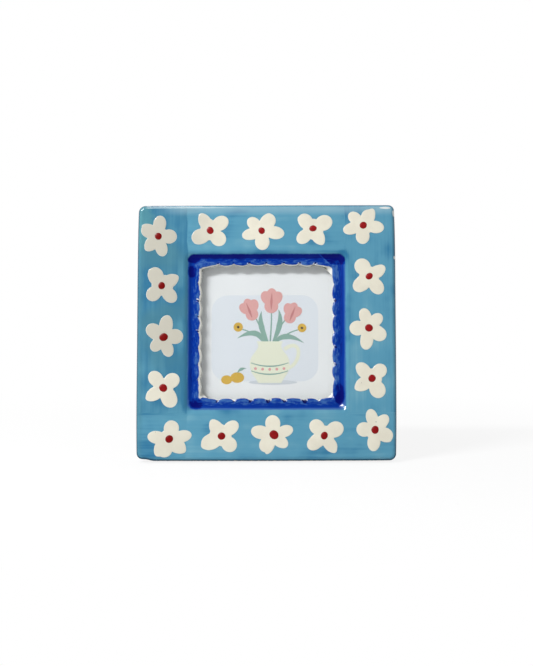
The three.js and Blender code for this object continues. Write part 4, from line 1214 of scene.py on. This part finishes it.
# Leg hinge: two zinc-plated leaves whose sheet is rolled round a headed pin, riveted to the panel and
# to the leg. The heel of the leg's leaf stops the leg at its angle.
PIN_PLACE = (0.0, 28.0, -16.7)
LEG_OPEN = math.radians(27)
HINGE_LONG, HINGE_TALL, HINGE_CORNER, HINGE_OFF = 28.0, 13.8, 2.5, 10.1
HINGE_BROKEN = 0.15
ROLL_MIDDLE, ROLL_ROUND, ROLL_SOFT = 1.4, math.radians(318), 0.12
KNUCKLE_OUT, KNUCKLE_IN, KNUCKLE_LEG = 14.0, 6.2, 5.6
HEEL_WIDE, HEEL_TALL, HEEL_CORNER, HEEL_FRONT = 9.0, 6.5, 1.8, 0.7
PIN_CLEAR, PIN_STEPS, PIN_END = 1.05, 40, 15.1
# Radius and place of each loop along the pin
PIN_PROFILE = [
    (0.9, -PIN_END), (1.3, -14.9), (1.4, -14.6), (1.4, -14.3), (0.8, -14.3),
    (0.8, 14.3), (1.4, 14.3), (1.4, 14.6), (1.3, 14.9), (0.9, PIN_END),
]
RIVET = (2.4, 1.0, 1.2, 4.0, 0.3)
RIVET_X, PANEL_RIVET, LEG_RIVET = 9.0, (38.5, -16.0), (-10.5, -2.6)


def swung(points):
    """Leg axes about the pin to face axes: turned about x by the open angle, then moved to the pin."""
    x, y, z = np.moveaxis(np.asarray(points, float), -1, 0)
    cos, sin = math.cos(LEG_OPEN), math.sin(LEG_OPEN)
    return np.stack((x, y * cos - z * sin, y * sin + z * cos), -1) + PIN_PLACE


def rolled_knuckle(left, right, side):
    """Sheet carried along a path in y and z: straight along the leaf, then rolled round the pin."""
    straight = np.stack((np.linspace(4, 0.4, 4) * side, np.full(4, ROLL_MIDDLE)), -1)
    turn = np.pi / 2 + side * np.linspace(0, ROLL_ROUND, 48)
    path = np.concatenate((straight, ROLL_MIDDLE * circle(turn)))
    normal = leftwards(np.gradient(path, axis=0))
    half, soft = SHEET / 2, ROLL_SOFT
    section = [(left, soft - half), (left + soft, -half), (right - soft, -half), (right, soft - half),
               (right, half - soft), (right - soft, half), (left + soft, half), (left, half - soft)]
    swept = [np.column_stack((np.full(len(path), x), path + normal * across)) for x, across in section]
    loops = np.stack(swept, 1)
    return fanned(loops, loops[0].mean(0), loops[-1].mean(0))


def flat_leaf(side):
    """Flat part of a leaf, in line with the sheet of its knuckles, above the pin or below it."""
    outline = corner_box(HINGE_LONG, HINGE_TALL, HINGE_CORNER, 0, HINGE_OFF * side)
    return plate(outline, ROLL_MIDDLE + SHEET / 2, ROLL_MIDDLE - SHEET / 2, HINGE_BROKEN)


panel_leaf = joined([
    flat_leaf(1), rolled_knuckle(-KNUCKLE_OUT, -KNUCKLE_IN, 1), rolled_knuckle(KNUCKLE_IN, KNUCKLE_OUT, 1),
])
made = piece("rolled_leaf_panel", lean(panel_leaf[0] + PIN_PLACE), panel_leaf[1], zinc, 40)
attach(made, "frame")
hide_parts("hinge_leaf_panel")

# The heel lies flat on the panel's leaf while the leg is open, so it is turned back by the open angle
heel_outline = corner_box(HEEL_WIDE, HEEL_TALL, HEEL_CORNER, 0, HEEL_TALL / 2)
heel_outline = np.maximum(heel_outline, (-HEEL_WIDE, PIN_CLEAR))
heel_points, heel_faces = plate(heel_outline, HEEL_FRONT, HEEL_FRONT - SHEET, HINGE_BROKEN)
x, y, z = heel_points.T
cos, sin = math.cos(LEG_OPEN), math.sin(LEG_OPEN)
heel = np.stack((x, y * cos + z * sin, z * cos - y * sin), -1), heel_faces
leg_leaf = joined([flat_leaf(-1), rolled_knuckle(-KNUCKLE_LEG, KNUCKLE_LEG, -1), heel])
made = piece("rolled_leaf_leg", lean(swung(leg_leaf[0])), leg_leaf[1], zinc, 40)
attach(made, "leg")
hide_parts("hinge_leaf_leg")

turn = once_round(PIN_STEPS)
ring = np.column_stack((0 * turn, np.cos(turn), np.sin(turn)))
pin_loops = np.stack([ring * radius + (place, 0, 0) for radius, place in PIN_PROFILE])
points, faces = fanned(pin_loops, (-PIN_END, 0, 0), (PIN_END, 0, 0))
made = piece("headed_pin", lean(points + PIN_PLACE), faces, zinc, 50)
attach(made, "frame")
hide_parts("hinge_pin")

points, faces = domed(*RIVET)
for side, x in (("left", -RIVET_X), ("right", RIVET_X)):
    made = piece(f"tube_rivet_panel_{side}", lean(points + (x, *PANEL_RIVET)), faces, zinc, 50)
    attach(made, "frame")
    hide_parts(f"panel_rivet_{side}")
    made = piece(f"tube_rivet_leg_{side}", lean(swung(points + (x, *LEG_RIVET))), faces, zinc, 50)
    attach(made, "leg")
    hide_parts(f"leg_rivet_{side}")


# Easel leg: flocked fibreboard that widens towards the foot, with round upper corners and a level
# cut where it stands on the table. It swings on the hinge.
LEG_TOP, LEG_FOOT, LEG_CORNER = -2.2, -106.0, 4.0
LEG_TOP_HALF, LEG_FOOT_HALF = 16.0, 23.0
LEG_FRONT, LEG_BACK, LEG_BROKEN = 0.7, -2.29, 0.4

corner_turn = np.linspace(0, np.pi / 2, 8)
rounding = LEG_CORNER * circle(corner_turn)
leg_corner = rounding + (LEG_TOP_HALF - LEG_CORNER, LEG_TOP - LEG_CORNER)
foot_ends = [(-LEG_FOOT_HALF, LEG_FOOT), (LEG_FOOT_HALF, LEG_FOOT)]
leg_outline = np.concatenate((foot_ends, leg_corner, leg_corner[::-1] * (-1, 1)))
flat_leg, faces = plate(leg_outline, LEG_FRONT, LEG_BACK, LEG_BROKEN)
points = lean(swung(flat_leg))
# Points near the foot slide along the leg until the end lies level on the table
up_leg = lean(swung((0, 1, 0))) - lean(swung((0, 0, 0)))
above_foot = flat_leg[:, 1:2] - LEG_FOOT
too_high = np.where(above_foot < 1, points[:, 2:] - above_foot * up_leg[2], 0)
points -= too_high * up_leg / up_leg[2]
flocked_leg = piece("flocked_leg", points, faces, flock, 40)
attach(flocked_leg, "leg")
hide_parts("easel_leg")
